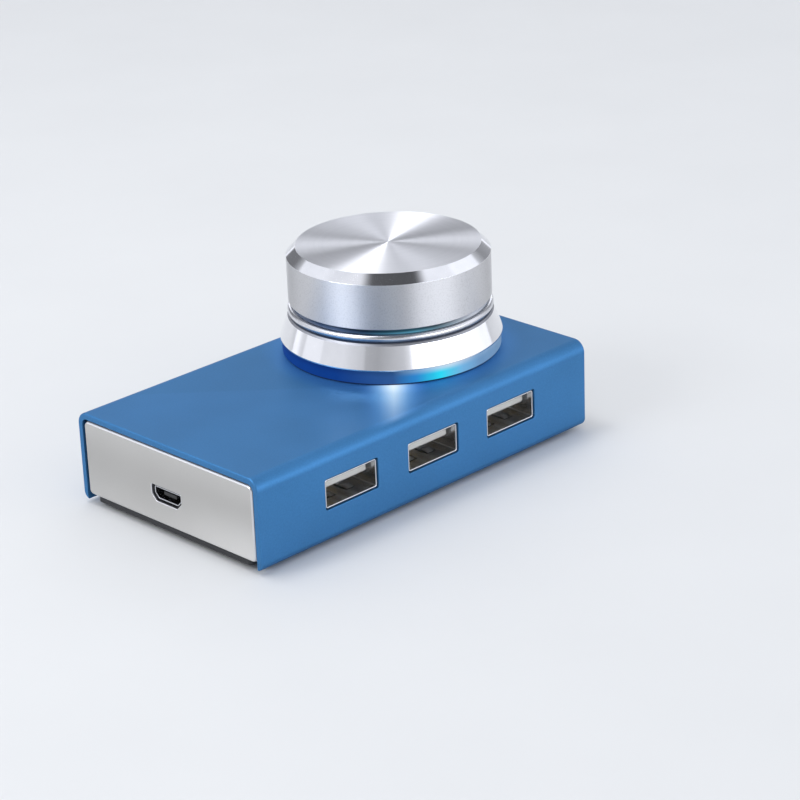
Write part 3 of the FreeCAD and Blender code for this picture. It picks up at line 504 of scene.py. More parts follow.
def painted_light_dish():
    """Polished inside of the flare ring, with painted light: emission that stands for the light that leaks
    up to it, and painted shade that makes it darker further in under the knob.
    """
    def sockets(g):
        offset = g.from_knob()
        outward = g.radius(offset).between(dish_inner - 1.5 * mm, dish_inner - 0.4 * mm)
        # Painted light and shade: the emission and the base colour both fade darker further in under the
        # knob.
        tint = g.bearing(offset).ramp(painted_dish_glow) * (0.25 + 0.75 * outward)
        return {"Base Color": outward.mix(srgb(60, 72, 96), srgb(150, 156, 168)), "Metallic": 1.0,
                "Roughness": 0.25 + 0.1 * g.rings(0.3 * mm),
                "Emission Color": tint, "Emission Strength": 1.0}
    return material("flare_dish_painted_light", sockets)


def plastic(name, colour, roughness, grain_size, coat=0.0):
    """Moulded plastic, rubber or lacquer with fine grain."""
    def sockets(g):
        grain = g.noise(grain_size, 3)
        cloud = g.noise(25 * grain_size, 2)
        return {"Base Color": cloud.mix(scaled(colour, 0.9), colour), "Roughness": roughness + 0.12 * grain,
                "Coat Weight": coat, "Coat Roughness": 0.2, "Normal": g.bump(grain, 0.01 * mm, 0.4)}
    return material(name, sockets)


tracks_per_metre = 260.0


def solder_mask():
    """Green board lacquer with copper tracks showing faintly under it."""
    def sockets(g):
        tracks = g.add("ShaderNodeTexBrick", {},
                       {"Vector": g.place(), "Scale": tracks_per_metre, "Mortar Size": 0.03,
                        "Color1": (1, 1, 1), "Color2": (0.8, 0.8, 0.8), "Mortar": (0, 0, 0)})
        lightness = tracks.dot((0.33, 0.33, 0.33))
        weave = g.noise(0.5 * mm, 2)
        tint = (lightness * (0.8 + 0.2 * weave)).mix(srgb(20, 84, 52), srgb(12, 62, 38))
        return {"Base Color": tint, "Roughness": 0.28 + 0.1 * weave,
                "Coat Weight": 0.5, "Coat Roughness": 0.2}
    return material("green_solder_mask", sockets)


# ---- mesh building ----

def rounded_outline(corners):
    """Points round a closed outline of (u, v, radius, finish) corners, each with its finish.

    A corner's finish is that of its own arc and of the run that follows it.
    """
    points = []
    for i, (u, v, radius, finish) in enumerate(corners):
        corner = Vector((u, v))
        if radius == 0:
            points.append((corner, finish))
            continue
        before = (Vector(corners[i - 1][:2]) - corner).normalized()
        after = (Vector(corners[(i + 1) % len(corners)][:2]) - corner).normalized()
        half = before.angle(after) / 2
        centre = corner + (before + after).normalized() * radius / math.sin(half)
        start = corner + before * radius / math.tan(half) - centre
        turn = math.copysign(math.pi - 2 * half, before.cross(after) * -1)
        steps = max(2, math.ceil(abs(turn) / arc_step))
        for k in range(steps + 1):
            points.append((centre + Matrix.Rotation(turn * k / steps, 2) @ start, finish))
    return points


def rectangle(u0, u1, v0, v1, radius):
    """Corners of a rectangle with equal rounding."""
    return [(u0, v0, radius, 0), (u1, v0, radius, 0), (u1, v1, radius, 0), (u0, v1, radius, 0)]


def cylinder(radius, low, high, foot_rounding=0):
    """Corners from which the lathe turns a cylinder."""
    return [(0, low, 0, 0), (radius, low, foot_rounding, 0), (radius, high, 0, 0), (0, high, 0, 0)]


def lathe(corners, centre):
    """A mesh turned about the upright axis at centre from an outline of (radius, height) corners."""
    bm = bmesh.new()
    outline = rounded_outline(corners)
    rings = []
    for step in range(lathe_turns):
        angle = 2 * math.pi * step / lathe_turns
        across = Vector((math.cos(angle), math.sin(angle), 0))
        rings.append([bm.verts.new(centre + across * p.x + Vector((0, 0, p.y))) for p, finish in outline])
    for ring, following in zip(rings, rings[1:] + rings[:1]):
        for i, (point, finish) in enumerate(outline):
            j = (i + 1) % len(outline)
            face = bm.faces.new((ring[i], following[i], following[j], ring[j]))
            face.material_index = finish
    bmesh.ops.remove_doubles(bm, verts=bm.verts, dist=1e-8)
    loose = [e for e in bm.edges if not e.link_faces]
    bmesh.ops.delete(bm, geom=loose, context="EDGES")
    bmesh.ops.recalc_face_normals(bm, faces=bm.faces)
    return bm


def bridged(sections, finishes=None):
    """A closed skin through sections of equally many points. finishes has one number for each band."""
    bm = bmesh.new()
    rings = [[bm.verts.new(p) for p in section] for section in sections]
    for band, (ring, following) in enumerate(zip(rings, rings[1:])):
        for i in range(len(ring)):
            j = (i + 1) % len(ring)
            face = bm.faces.new((ring[i], ring[j], following[j], following[i]))
            face.material_index = finishes[band] if finishes else 0
    bm.faces.new(rings[0])
    bm.faces.new(list(reversed(rings[-1])))
    bmesh.ops.recalc_face_normals(bm, faces=bm.faces)
    return bm


def rounded_end(place, inward, rounding):
    """(place, inset) of each section of a rounded edge, from the end face inward."""
    angles = [math.pi / 2 * k / end_steps for k in range(end_steps + 1)]
    return [(place + inward * rounding * (1 - math.cos(a)), rounding * (1 - math.sin(a))) for a in angles]


def along(axis, place, outline):
    """The outline's points standing across the axis "x", "y" or "z" at that place."""
    stand = {"x": lambda u, v: (place, u, v), "y": lambda u, v: (u, place, v),
             "z": lambda u, v: (u, v, place)}[axis]
    return [Vector(stand(*point)) for point, finish in outline]


def prism(axis, low, high, corners):
    outline = rounded_outline(corners)
    return bridged([along(axis, low, outline), along(axis, high, outline)])


def soft_prism(axis, low, high, inset_corners, rounding):
    """A prism with both end edges rounded. inset_corners gives the outline for an inset."""
    steps = rounded_end(low, 1, rounding) + list(reversed(rounded_end(high, -1, rounding)))
    return bridged([along(axis, place, rounded_outline(inset_corners(inset))) for place, inset in steps])


def box_mesh(low, high):
    return prism("z", low[2], high[2], rectangle(low[0], high[0], low[1], high[1], 0))


def as_object(name, bm, materials=()):
    mesh = bpy.data.meshes.new(name)
    bm.to_mesh(mesh)
    bm.free()
    made = bpy.data.objects.new(name, mesh)
    bpy.context.scene.collection.objects.link(made)
    for finish in materials:
        mesh.materials.append(finish)
    return made


def bake_modifiers(piece):
    """Puts the result of the piece's modifiers into its mesh."""
    bpy.context.view_layer.update()
    shaped = piece.evaluated_get(bpy.context.evaluated_depsgraph_get())
    mesh = bpy.data.meshes.new_from_object(shaped)
    piece.modifiers.clear()
    piece.data = mesh


def carve(piece, operation, tools):
    """Adds or cuts each tool mesh, then throws the tools away."""
    for bm in tools:
        tool = as_object("tool", bm)
        step = piece.modifiers.new("carve", "BOOLEAN")
        step.operation = operation
        step.solver = "EXACT"
        step.object = tool
        bake_modifiers(piece)
        bpy.data.objects.remove(tool)


def soften_edges(piece, chosen, width):
    """Rounds the sharp edges for which chosen(edge) is true."""
    bm = bmesh.new()
    bm.from_mesh(piece.data)
    sharp = [e for e in bm.edges
             if len(e.link_faces) == 2 and e.calc_face_angle() > sharp_edge and chosen(e)]
    bmesh.ops.bevel(bm, geom=sharp, offset=width, segments=edge_steps, profile=0.5, affect="EDGES")
    bm.to_mesh(piece.data)
    bm.free()


def smooth(piece):
    """Smooth shading that keeps flat faces flat."""
    piece.data.shade_smooth()
    piece.data.set_sharp_from_angle(angle=crease)
    weighted = piece.modifiers.new("even_shading", "WEIGHTED_NORMAL")
    weighted.keep_sharp = True
    weighted.weight = 80


def settle(piece, body, slot, *nodes):
    """Smooths a finished piece, fixes it to its body and lets it stand for the CAD nodes."""
    smooth(piece)
    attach(piece, body)
    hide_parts(*nodes)


# ---- case ----

def channel_corners(inset):
    """The case's section in (y, z): one loop round the outside and back inside, open below."""
    out_y = case_high.y - inset
    low = case_low.z + inset
    high = case_high.z - inset
    in_y = case_high.y - case_wall
    mouth = case_high.y - lip_width
    in_low = case_low.z + case_wall
    in_high = case_high.z - case_wall
    out_upper = case_edge_radius - inset
    out_lower = case_foot_radius - inset
    in_upper = case_edge_radius - case_wall
    in_lower = case_foot_radius - case_wall
    lip_r = lip_edge_rounding
    return [(-mouth, low, lip_r, 0), (-out_y, low, out_lower, 0), (-out_y, high, out_upper, 0),
            (out_y, high, out_upper, 0), (out_y, low, out_lower, 0), (mouth, low, lip_r, 0),
            (mouth, in_low, lip_r, 0), (in_y, in_low, in_lower, 0), (in_y, in_high, in_upper, 0),
            (-in_y, in_high, in_upper, 0), (-in_y, in_low, in_lower, 0), (-mouth, in_low, lip_r, 0)]


def socket_box(number):
    """Low and high corner of a USB-A socket's shell, without its legs."""
    low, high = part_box(f"usb_a_shell_{number}")
    return Vector((low.x, low.y, high.z - socket_height)), high


def case_body():
    """The blue channel with its lips, the three socket windows and the holes under the knob."""
    channel = soft_prism("x", case_low.x, case_high.x, channel_corners, case_end_rounding)
    piece = as_object("blue_case_body", channel, [blasted_blue_case()])
    holes = []
    clear = 0.01 * mm
    notch_y = case_high.y - case_wall + clear
    for end, past in ((case_low.x - clear, 1), (case_high.x + clear, -1)):
        xs = sorted((end, end + past * (lip_setback + clear)))
        holes.append(box_mesh((xs[0], -notch_y, case_low.z - overshoot),
                              (xs[1], notch_y, case_low.z + 2 * case_wall)))
    for number in socket_numbers:
        low, high = socket_box(number)
        window = rectangle(low.x - socket_gap, high.x + socket_gap, low.z - socket_gap, high.z + socket_gap,
                           socket_corner_radius)
        holes.append(prism("y", case_low.y - overshoot, case_low.y + case_wall + overshoot, window))
    under, above = case_high.z - 2 * case_wall, case_high.z + overshoot
    holes.append(lathe(cylinder(bush_hole_radius, under, above), knob_axis))
    slot_x = knob_axis.x + link_slot_offset
    half_x, half_y = link_slot_size[0] / 2, link_slot_size[1] / 2
    holes.append(box_mesh((slot_x - half_x, knob_axis.y - half_y, under),
                          (slot_x + half_x, knob_axis.y + half_y, above)))
    carve(piece, "DIFFERENCE", holes)

    def on_window_rim(edge):
        """True on the outer face, away from the case's ends and its long edges."""
        return all(abs(v.co.y - case_low.y) < touching and abs(v.co.x) < case_high.x - window_end_margin
                   and case_low.z + window_edge_margin < v.co.z < case_high.z - window_edge_margin
                   for v in edge.verts)
    soften_edges(piece, on_window_rim, cut_edge_rounding)
    settle(piece, "case", "blue_case", "housing_shell")


def end_plate(name, node, side, finishes, window=None):
    """An upright plate with a bright bevel, and the foot that the posts clamp down.

    Its finishes are those of its face, its bevels and the walls of its window, whose darker grey is painted
    shade.
    """
    low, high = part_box(node)
    outer = high.x if side > 0 else low.x
    inner = outer - side * plate_thickness
    foot_top = low.z + plate_foot_thickness
    half_y = case_high.y - case_wall - plate_side_gap
    soft = plate_bevel_rounding

    def plate_section(depth, inset):
        corners = rectangle(-half_y + inset, half_y - inset, low.z + inset, high.z - inset,
                            plate_corner_radius - inset)
        return along("x", outer - side * depth, rounded_outline(corners))
    sections = [plate_section(depth, inset) for depth, inset in
                ((0, plate_bevel + soft), (soft / 2, plate_bevel - soft / 2),
                 (plate_bevel - soft / 2, soft / 2), (plate_bevel + soft, 0), (plate_thickness, 0))]
    piece = as_object(name, bridged(sections, [1, 1, 1, 0]), finishes)
    foot_xs = sorted((low.x if side > 0 else high.x, inner + side * plate_thickness / 2))
    carve(piece, "UNION", [box_mesh((foot_xs[0], low.y, low.z), (foot_xs[1], high.y, foot_top))])
    if window:
        carve(piece, "DIFFERENCE", [window])
        soften_edges(piece, lambda edge: all(abs(v.co.x - outer) < touching
                                             and abs(v.co.y) < inlet_window_reach for v in edge.verts),
                     cut_edge_rounding)
        finish_window(piece)
    settle(piece, "case", "grey_panel", node)


def finish_window(piece):
    """Gives the rounded rim of the inlet's window the bevel's finish, and its walls the darker grey that is
    painted shade inside the window.
    """
    low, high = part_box("micro_usb_shell")
    margin = 2 * inlet_gap
    flat, upright = 0.97, 0.1  # outward share of a face that looks straight out, and of one that looks aside
    for face in piece.data.polygons:
        y, z = face.center.y, face.center.z
        inside = low.y - margin < y < high.y + margin and low.z - margin < z < high.z + margin
        outward = abs(face.normal.x)
        if inside and outward < flat:
            face.material_index = 2 if outward < upright else 1


def inlet_corners(grow, rounding):
    """The micro-USB outline in (y, z), wide side up, grown outward by grow."""
    low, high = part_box("micro_usb_shell")
    cut = math.sqrt(2) - 1
    wide = high.y + grow
    other = low.y - grow
    shoulder = low.z + inlet_corner - grow * cut
    narrow_high = high.y - inlet_corner + grow * cut
    narrow_low = low.y + inlet_corner - grow * cut
    return [(other, high.z + grow, rounding, 0), (wide, high.z + grow, rounding, 0),
            (wide, shoulder, rounding, 0), (narrow_high, low.z - grow, rounding, 0),
            (narrow_low, low.z - grow, rounding, 0), (other, shoulder, rounding, 0)]


def sheet_cup(axis, mouth, back, sheet, corners):
    """A folded sheet-metal shell: open at the mouth, closed at the back, with a rounded lip."""
    inward = math.copysign(1, back - mouth)
    half = sheet / 2
    lip = [(mouth + inward * half * (1 - math.sin(a)), half * (1 - math.cos(a)))
           for a in (math.pi * k / lip_steps for k in range(lip_steps + 1))]
    steps = [(back, 0)] + [(place, inset) for place, inset in lip] + [(back - inward * sheet, sheet)]
    sections = [along(axis, place, rounded_outline(corners(inset))) for place, inset in steps]
    return bridged(sections)


def inlet_shell():
    low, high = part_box("micro_usb_shell")
    bm = sheet_cup("x", low.x, high.x, inlet_sheet,
                   lambda inset: inlet_corners(-inset, inlet_rounding - inset * inlet_inner_corner_share))
    piece = as_object("micro_usb_socket", bm, [metal("bright_inlet_steel", srgb(205, 206, 210), 0.2)])
    settle(piece, "case", "port_steel", "micro_usb_shell")


def socket_shell(number, finish):
    """A USB-A shell with four spring leaves, two above and two below, and four legs."""
    low, high = socket_box(number)
    bm = sheet_cup("y", low.y, high.y, socket_sheet,
                   lambda inset: rectangle(low.x + inset, high.x - inset, low.z + inset, high.z - inset,
                                           socket_corner_radius - inset * socket_inner_corner_share))
    piece = as_object(f"usb_a_socket_{number}", bm, [finish])
    middle = (low.x + high.x) / 2
    windows = []
    leaves = []
    tip = low.y + leaf_setback
    root = tip + leaf_length
    for side, skin in ((1, high.z), (-1, low.z)):
        for aside in (-leaf_spread, leaf_spread):
            x0, x1 = middle + aside - leaf_half_width, middle + aside + leaf_half_width
            windows.append(box_mesh((x0 - leaf_slit, tip - leaf_slit, skin - leaf_slit_reach),
                                    (x1 + leaf_slit, root, skin + leaf_slit_reach)))
            leaves.append(spring_leaf(x0, x1, tip, root, skin, side))
    carve(piece, "DIFFERENCE", windows)
    carve(piece, "UNION", leaves + socket_legs(low, high))
    settle(piece, "case", "port_steel", f"usb_a_shell_{number}")


def spring_leaf(x0, x1, tip, root, skin, side):
    """A leaf as a thin strip: it bends inward from the shell's skin, and its tip bends back out."""
    steps = 12
    top = []
    for k in range(steps + 1):
        y = root + leaf_root_overlap + (tip - root - leaf_root_overlap) * k / steps
        share = max(0.0, min(1.0, (root - y) / leaf_bend_length))
        fall = share * share * (3 - 2 * share)
        rise = max(0.0, (tip + leaf_tip_length - y) / leaf_tip_length)
        top.append((y, skin - side * leaf_dip * (fall - rise)))
    outline = top + [(y, z - side * socket_sheet) for y, z in reversed(top)]
    return bridged([[Vector((x, y, z)) for y, z in outline] for x in (x0, x1)])


def socket_legs(low, high):
    """Four legs folded down from the shell's sides through the board."""
    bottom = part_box("usb_a_shell_1")[0].z
    legs = []
    for share in leg_places:
        y = low.y + socket_depth * share
        for x in (low.x, high.x - socket_sheet):
            legs.append(box_mesh((x, y - leg_half_width, bottom),
                                 (x + socket_sheet, y + leg_half_width, low.z + overshoot)))
    return legs


def foot_pads():
    low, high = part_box("rubber_feet")
    bm = bmesh.new()
    for x in (low.x + foot_radius, high.x - foot_radius):
        for y in (low.y + foot_radius, high.y - foot_radius):
            pad = lathe(cylinder(foot_radius, low.z, high.z, foot_rounding), Vector((x, y, 0)))
            mesh = bpy.data.meshes.new("pad")
            pad.to_mesh(mesh)
            pad.free()
            bm.from_mesh(mesh)
            bpy.data.meshes.remove(mesh)
    piece = as_object("foot_pads", bm, [plastic("matt_black_rubber", srgb(34, 34, 36), 0.75, 0.25 * mm)])
    settle(piece, "case", "foot_rubber", "rubber_feet")


# ---- ring stack ----

def flat_ring(name, low, high, width, foot_rounding, top_rounding, finish):
    """A plain ring round the knob's axis, with the box from low to high."""
    outer = (high.x - low.x) / 2
    inner = outer - width
    outline = [(inner, low.z, 0, 0), (outer, low.z, foot_rounding, 0),
               (outer, high.z, top_rounding, 0), (inner, high.z, 0, 0)]
    return as_object(name, lathe(outline, knob_axis), [finish])


def gasket_seal():
    # The seal's navy colour is painted light: the light ring's blue light on a dark foam seal.
    piece = flat_ring("gasket_seal", gasket_low, gasket_high, gasket_width, gasket_foot_rounding,
                      gasket_top_rounding, plastic("dark_foam_painted_blue_light", srgb(12, 44, 84), 0.7, 0.2 * mm))
    settle(piece, "case", "gasket_rubber", "ring_gasket")


def light_band():
    piece = flat_ring("light_band", ring_low, ring_high, light_ring_width, light_ring_foot_rounding,
                      light_ring_top_rounding, glowing_band())
    settle(piece, "case", "light_ring", "light_ring")


def flare_trim():
    """The flared ring: a cone, a groove and a round bead outside, and a shallow dish on top."""
    low = ring_high.z
    top = flare_high.z
    groove_radius = neck_radius - groove_depth
    bead_middle = top - bead_radius
    cone_top = low + flare_land + flare_cone_height
    inner = flare_radius - flare_inner_step
    plain, dish, dull_shaded, bright, groove_shade = range(5)
    bead = []
    for k in range(bead_steps + 1):
        turn = -bead_turn + (math.pi / 2 + bead_turn) * k / bead_steps
        out, up = bead_radius * math.cos(turn), bead_radius * math.sin(turn)
        bead.append((bead_centre + out, bead_middle + up, 0, dull_shaded if turn < bead_dull_shaded_below else bright))
    groove_mid = (cone_top + bead[0][1]) / 2
    web_top = top - dish_depth
    web_bottom = web_top - flare_web
    corners = [(inner, low, 0, plain), (flare_radius, low, flare_base_rounding, plain),
               (flare_radius, low + flare_land, flare_foot_rounding, plain),
               (neck_radius, cone_top, neck_rounding, dull_shaded),
               (groove_radius, groove_mid, groove_rounding, groove_shade)]
    corners += bead
    corners += [(dish_outer, top, dish_rim_rounding, dish), (dish_inner, web_top, dish_foot_rounding, dish),
                (flare_hole_radius, web_top, flare_hole_rounding, plain),
                (flare_hole_radius, web_bottom, 0, plain), (inner, web_bottom, 0, plain)]
    # The dull and the groove finishes are the turned aluminium painted darker: painted shade under the bead
    # and in the groove. The dull one is also rougher.
    finishes = [turned("mirror_flare", srgb(246, 246, 248), srgb(236, 236, 239), 0.05, 0.35 * mm),
                painted_light_dish(),
                turned("dull_groove_painted_shade", srgb(168, 170, 176), srgb(150, 152, 160), 0.42, 0.2 * mm),
                turned("bright_bead", srgb(226, 227, 231), srgb(210, 211, 216), 0.2, 0.3 * mm),
                turned("groove_painted_shade", srgb(92, 94, 102), srgb(78, 80, 88), 0.5, 0.2 * mm)]
    piece = as_object("flare_trim", lathe(corners, knob_axis), finishes)
    boss = cylinder(boss_radius, light_board_top, web_bottom + flare_web / 2, boss_rounding)
    bore = cylinder(boss_bore, light_board_top - overshoot, light_board_top + boss_bore_depth)
    bosses = []
    bores = []
    for k in range(boss_count):
        turn = 2 * math.pi * k / boss_count
        centre = knob_axis + boss_circle * Vector((math.cos(turn), math.sin(turn), 0))
        bosses.append(lathe(boss, centre))
        bores.append(lathe(bore, centre))
    carve(piece, "UNION", bosses)
    carve(piece, "DIFFERENCE", bores)
    settle(piece, "case", "polished_ring", "flare_ring")


# ---- knob ----

def knob_shell():
    """The knob: a bevelled rim round a skirt, and inside it the boss with the socket for the hub."""
    radius = (knob_high.x - knob_low.x) / 2
    low, high = knob_low.z, knob_high.z
    roof = high - knob_roof
    skirt = radius - knob_skirt
    edge = knob_edge_rounding
    side, chamfer, top, inside = 0, 1, 2, 3
    corners = [(radius - knob_bottom_bevel, low, edge, side), (radius, low + knob_bottom_bevel, edge, side),
               (radius, high - knob_chamfer_height, edge, chamfer),
               (radius - knob_chamfer_width, high, edge, top), (0, high, 0, inside),
               (0, high - knob_socket_roof, 0, inside),
               (knob_socket_radius, high - knob_socket_roof, 0, inside),
               (knob_socket_radius, low + knob_boss_lift, knob_boss_rounding, inside),
               (knob_boss_radius, low + knob_boss_lift, knob_boss_rounding, inside),
               (knob_boss_radius, roof, knob_roof_rounding, inside),
               (skirt, roof, knob_roof_rounding, inside), (skirt, low, knob_skirt_rounding, side)]
    finishes = [blasted_silver(),
                turned("mirror_chamfer", srgb(242, 242, 245), srgb(228, 229, 233), 0.07, 0.3 * mm),
                spun_top(), metal("turned_knob_inside", srgb(200, 201, 205), 0.3)]
    piece = as_object("knob_shell", lathe(corners, knob_axis), finishes)
    settle(piece, "knob", "knob_metal", "knob_cap")


# ---- pieces that keep their CAD shape ----

def dress_cad_nodes():
    """Finishes for the pieces inside, by their material slots."""
    finishes = {
        "black_base": plastic("black_powder_coat", srgb(40, 41, 44), 0.5, 0.35 * mm),
        "zinc_screw": metal("zinc_plate", srgb(196, 198, 202), 0.28, 0.2 * mm),
        "post_brass": metal("turned_brass", srgb(214, 180, 110), 0.26, 0.2 * mm),
        "green_board": solder_mask(),
        "port_steel": metal("tinned_steel", srgb(206, 207, 210), 0.24),
        "tongue_plastic": plastic("white_moulding", srgb(228, 227, 222), 0.4, 0.2 * mm, 0.2),
        "black_plastic": plastic("black_moulding", srgb(32, 32, 34), 0.42, 0.2 * mm, 0.1),
        "gold_contact": metal("gold_plate", srgb(226, 188, 104), 0.22, 0.15 * mm),
        "tin_lead": metal("tinned_lead", srgb(200, 201, 205), 0.3, 0.15 * mm),
        "bright_can": metal("drawn_can", srgb(216, 217, 220), 0.22),
        "brown_capacitor": plastic("fired_ceramic", srgb(150, 116, 84), 0.5, 0.15 * mm),
        "blue_plastic": plastic("blue_moulding", srgb(30, 72, 150), 0.42, 0.2 * mm),
        "spring_steel": metal("spring_strip", srgb(186, 187, 190), 0.3, 0.2 * mm),
        "zinc_bush": metal("turned_zinc", srgb(190, 192, 196), 0.3, 0.2 * mm),
        "led_body": plastic("diode_body", srgb(236, 238, 242), 0.35, 0.15 * mm, 0.4),
        "hub_plastic": plastic("glass_filled_nylon", srgb(46, 46, 50), 0.5, 0.15 * mm),
    }
    slots = {part["node"]: part["material_slot"] for part in frame["record"]["subparts"]}
    for name, node in frame["nodes"].items():
        finish = finishes.get(slots[name])
        if finish is None or node.hide_render:
            continue
        node.data.materials.clear()
        node.data.materials.append(finish)


# ---- studio ----

floor_reach = 3.0
floor_thickness = 0.02
floor_corner = 0.5


def floor():
    def sockets(g):
        dust = g.noise(40 * mm, 3)
        return {"Base Color": dust.mix(srgb(226, 228, 231), srgb(231, 233, 236)), "Roughness": 0.6,
                "Specular IOR Level": 0.25}
    outline = rectangle(-floor_reach, floor_reach, -floor_reach, floor_reach, floor_corner)
    slab = prism("z", -floor_thickness, 0.0, outline)
    piece = as_object("studio_floor", slab, [material("pale_floor", sockets)])


def studio_direction(bearing, elevation):
    """A direction by degrees round from the front corner and degrees up."""
    b, e = math.radians(bearing), math.radians(elevation)
    level = towards_corner * math.cos(b) + beside_corner * math.sin(b)
    return level * math.cos(e) + Vector((0, 0, math.sin(e)))


def soft_box(name, bearing, elevation, distance, width, height, radiance, mirrored):
    """A rectangular lamp that faces the knob. Radiance 1 looks as bright as white paper."""
    lamp = bpy.data.lights.new(name, "AREA")
    lamp.shape = "RECTANGLE"
    lamp.size = width
    lamp.size_y = height
    lamp.energy = radiance * math.pi * width * height
    holder = bpy.data.objects.new(name, lamp)
    out = studio_direction(bearing, elevation)
    aim = Vector((knob_axis.x, knob_axis.y, case_high.z))
    facing = out.to_track_quat("Z", "Y").to_matrix().to_4x4()
    holder.matrix_world = Matrix.Translation(aim + out * distance) @ facing
    holder.visible_glossy = mirrored
    bpy.context.scene.collection.objects.link(holder)


def studio_world():
    """An even, pale surround."""
    world = bpy.data.worlds.new("studio")
    bpy.context.scene.world = world
    world.use_nodes = True
    g = Graph(world.node_tree)
    pale = g.add("ShaderNodeBackground", {}, {"Color": (0.745, 0.755, 0.775), "Strength": 1.0})
    g.add("ShaderNodeOutputWorld", {}, {"Surface": pale})


def grey(level):
    """The slightly cool grey of a screen with that brightness."""
    return (level * 0.94, level * 0.965, level * 1.03)


def screens(*levels):
    """Ramp stops for screens round the table from (degrees from the front corner, brightness)."""
    return around(*((degrees, grey(level)) for degrees, level in levels))


# The brightness of the screens round the table, in three rows one above the other
low_screens = screens((-180, 0.75), (-168, 0.7), (-162, 2.4), (-155, 0.2), (-137, 0.2), (-118, 0.9),
                      (-103, 0.7), (-101, 0.95), (-79, 0.95), (-77, 0.8), (-52, 0.8), (-30, 0.6),
                      (-28, 0.45), (-15, 0.4), (12, 0.6), (18, 0.8), (24, 1.7), (36, 3.5), (68, 3.5),
                      (84, 1.4), (118, 0.95), (138, 0.3), (155, 0.4), (162, 2.4), (168, 0.7), (180, 0.75))
middle_screens = screens((-180, 0.7), (-160, 0.1), (-140, 0.15), (-130, 0.95), (-90, 1.0), (-76, 3.6),
                         (-44, 3.6), (-30, 0.9), (-20, 0.1), (18, 0.1), (30, 0.4), (90, 0.5),
                         (98, 1.15), (127, 1.1), (136, 0.4), (160, 0.35), (180, 0.7))
high_screens = screens((-180, 2.0), (-165, 2.0), (-150, 0.5), (-120, 0.95), (-60, 0.85), (-20, 0.7),
                       (40, 0.7), (70, 1.0), (120, 1.0), (140, 0.5), (160, 0.5), (170, 2.0), (180, 2.0))
# Elevations, in degrees, over which one row turns into the next
floor_seam = (2, 4)
low_seam = (26, 29)
middle_seam = (46, 50)
horizon_level = 1.1
# A dark screen overhead, which the knob's chamfer mirrors in front
dark_patch_bearing = 10
dark_patch_elevation = 72
dark_patch_edge = (24.5, 14.5)  # degrees from its middle where it starts and where it is full
dark_patch_level = 0.1
screen_strength = 1.05
tent_reach = 2.5


def light_tent():
    """Screens in a dome round the table, which only shiny surfaces mirror."""
    bm = bmesh.new()
    bmesh.ops.create_uvsphere(bm, u_segments=64, v_segments=32, radius=tent_reach)
    under_table = [v for v in bm.verts if v.co.z < -1e-4]
    bmesh.ops.delete(bm, geom=under_table, context="VERTS")
    bmesh.ops.translate(bm, verts=bm.verts, vec=knob_axis)
    made = bpy.data.materials.new("tent_screens")
    made.use_nodes = True
    g = Graph(made.node_tree)
    direction = g.from_knob() / Vector((tent_reach, tent_reach, tent_reach))
    turn = g.bearing(direction)

    def above(seam):
        return direction.part("Z").between(*(math.sin(math.radians(elevation)) for elevation in seam))
    level = above(low_seam).mix(turn.ramp(low_screens), turn.ramp(middle_screens))
    level = above(middle_seam).mix(level, turn.ramp(high_screens))
    level = above(floor_seam).mix(grey(horizon_level), level)
    patch = direction.dot(studio_direction(dark_patch_bearing, dark_patch_elevation)).between(
        *(math.cos(math.radians(radius)) for radius in dark_patch_edge))
    glow = g.add("ShaderNodeEmission", {},
                 {"Color": patch.mix(level, grey(dark_patch_level)), "Strength": screen_strength})
    g.add("ShaderNodeOutputMaterial", {}, {"Surface": glow})
    made.cycles.emission_sampling = "NONE"
    tent = as_object("light_tent", bm, [made])
    tent.visible_camera = False
    tent.visible_diffuse = False
    tent.visible_transmission = False
    tent.visible_volume_scatter = False
    tent.visible_shadow = False


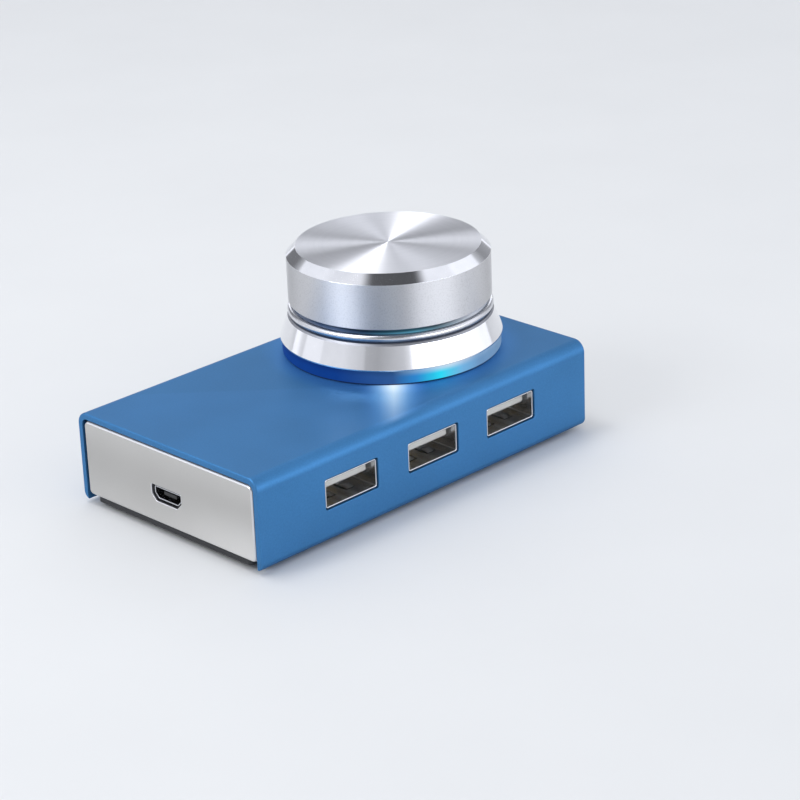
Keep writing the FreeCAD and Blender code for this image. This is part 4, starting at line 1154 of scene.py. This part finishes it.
def camera():
    """The view of the corner between the sockets and the inlet, from above."""
    elevation = math.radians(22.613)
    roll = math.radians(-2.211)
    distance = 521.9 * mm
    shift_right = 11.525 * mm
    shift_up = 11.77 * mm
    focal_pixels = 2678.5
    image_pixels = 800
    back = towards_corner * math.cos(elevation) + Vector((0, 0, math.sin(elevation)))
    right = beside_corner
    up = back.cross(right)
    rolled_right = right * math.cos(roll) + up * math.sin(roll)
    rolled_up = up * math.cos(roll) - right * math.sin(roll)
    data = bpy.data.cameras.new("camera")
    data.sensor_width = 36
    data.lens = data.sensor_width * focal_pixels / image_pixels
    data.clip_start = 0.01
    data.clip_end = 20
    holder = bpy.data.objects.new("camera", data)
    place = back * distance + rolled_right * shift_right + rolled_up * shift_up + Vector((0, 0, case_low.z))
    facing = Matrix((rolled_right, rolled_up, back)).transposed().to_4x4()
    holder.matrix_world = Matrix.Translation(place) @ facing
    bpy.context.scene.collection.objects.link(holder)
    bpy.context.scene.camera = holder


camera()
studio_world()
floor()
light_tent()
soft_box("key_softbox", bearing=-90, elevation=74.6, distance=0.6, width=0.2, height=0.2,
         radiance=6.4, mirrored=True)
soft_box("left_softbox", bearing=-60, elevation=38, distance=0.7, width=0.28, height=0.2,
         radiance=4.4, mirrored=True)
soft_box("back_softbox", bearing=172, elevation=34, distance=0.8, width=0.5, height=0.16,
         radiance=0.8, mirrored=False)
soft_box("side_softbox", bearing=60, elevation=30, distance=0.7, width=0.3, height=0.3,
         radiance=0.8, mirrored=False)

# The third finish, a darker grey for the walls of the inlet's window, is painted shade inside the window.
plate_finishes = [satin_plate(), metal("bright_plate_edge", srgb(226, 226, 228), 0.36),
                  metal("window_wall_painted_shade", srgb(150, 151, 155), 0.4)]
inlet_window = prism("x", case_low.x - overshoot, case_low.x + 2 * plate_thickness,
                     inlet_corners(inlet_gap, inlet_window_rounding))
case_body()
end_plate("inlet_end_plate", "left_end_panel", -1, plate_finishes, inlet_window)
end_plate("plain_end_plate", "right_end_panel", 1, plate_finishes)
inlet_shell()
socket_steel = metal("socket_steel", srgb(214, 215, 218), 0.22)
for number in socket_numbers:
    socket_shell(number, socket_steel)
foot_pads()
gasket_seal()
light_band()
flare_trim()
knob_shell()
dress_cad_nodes()

bpy.context.scene.view_settings.view_transform = "Standard"
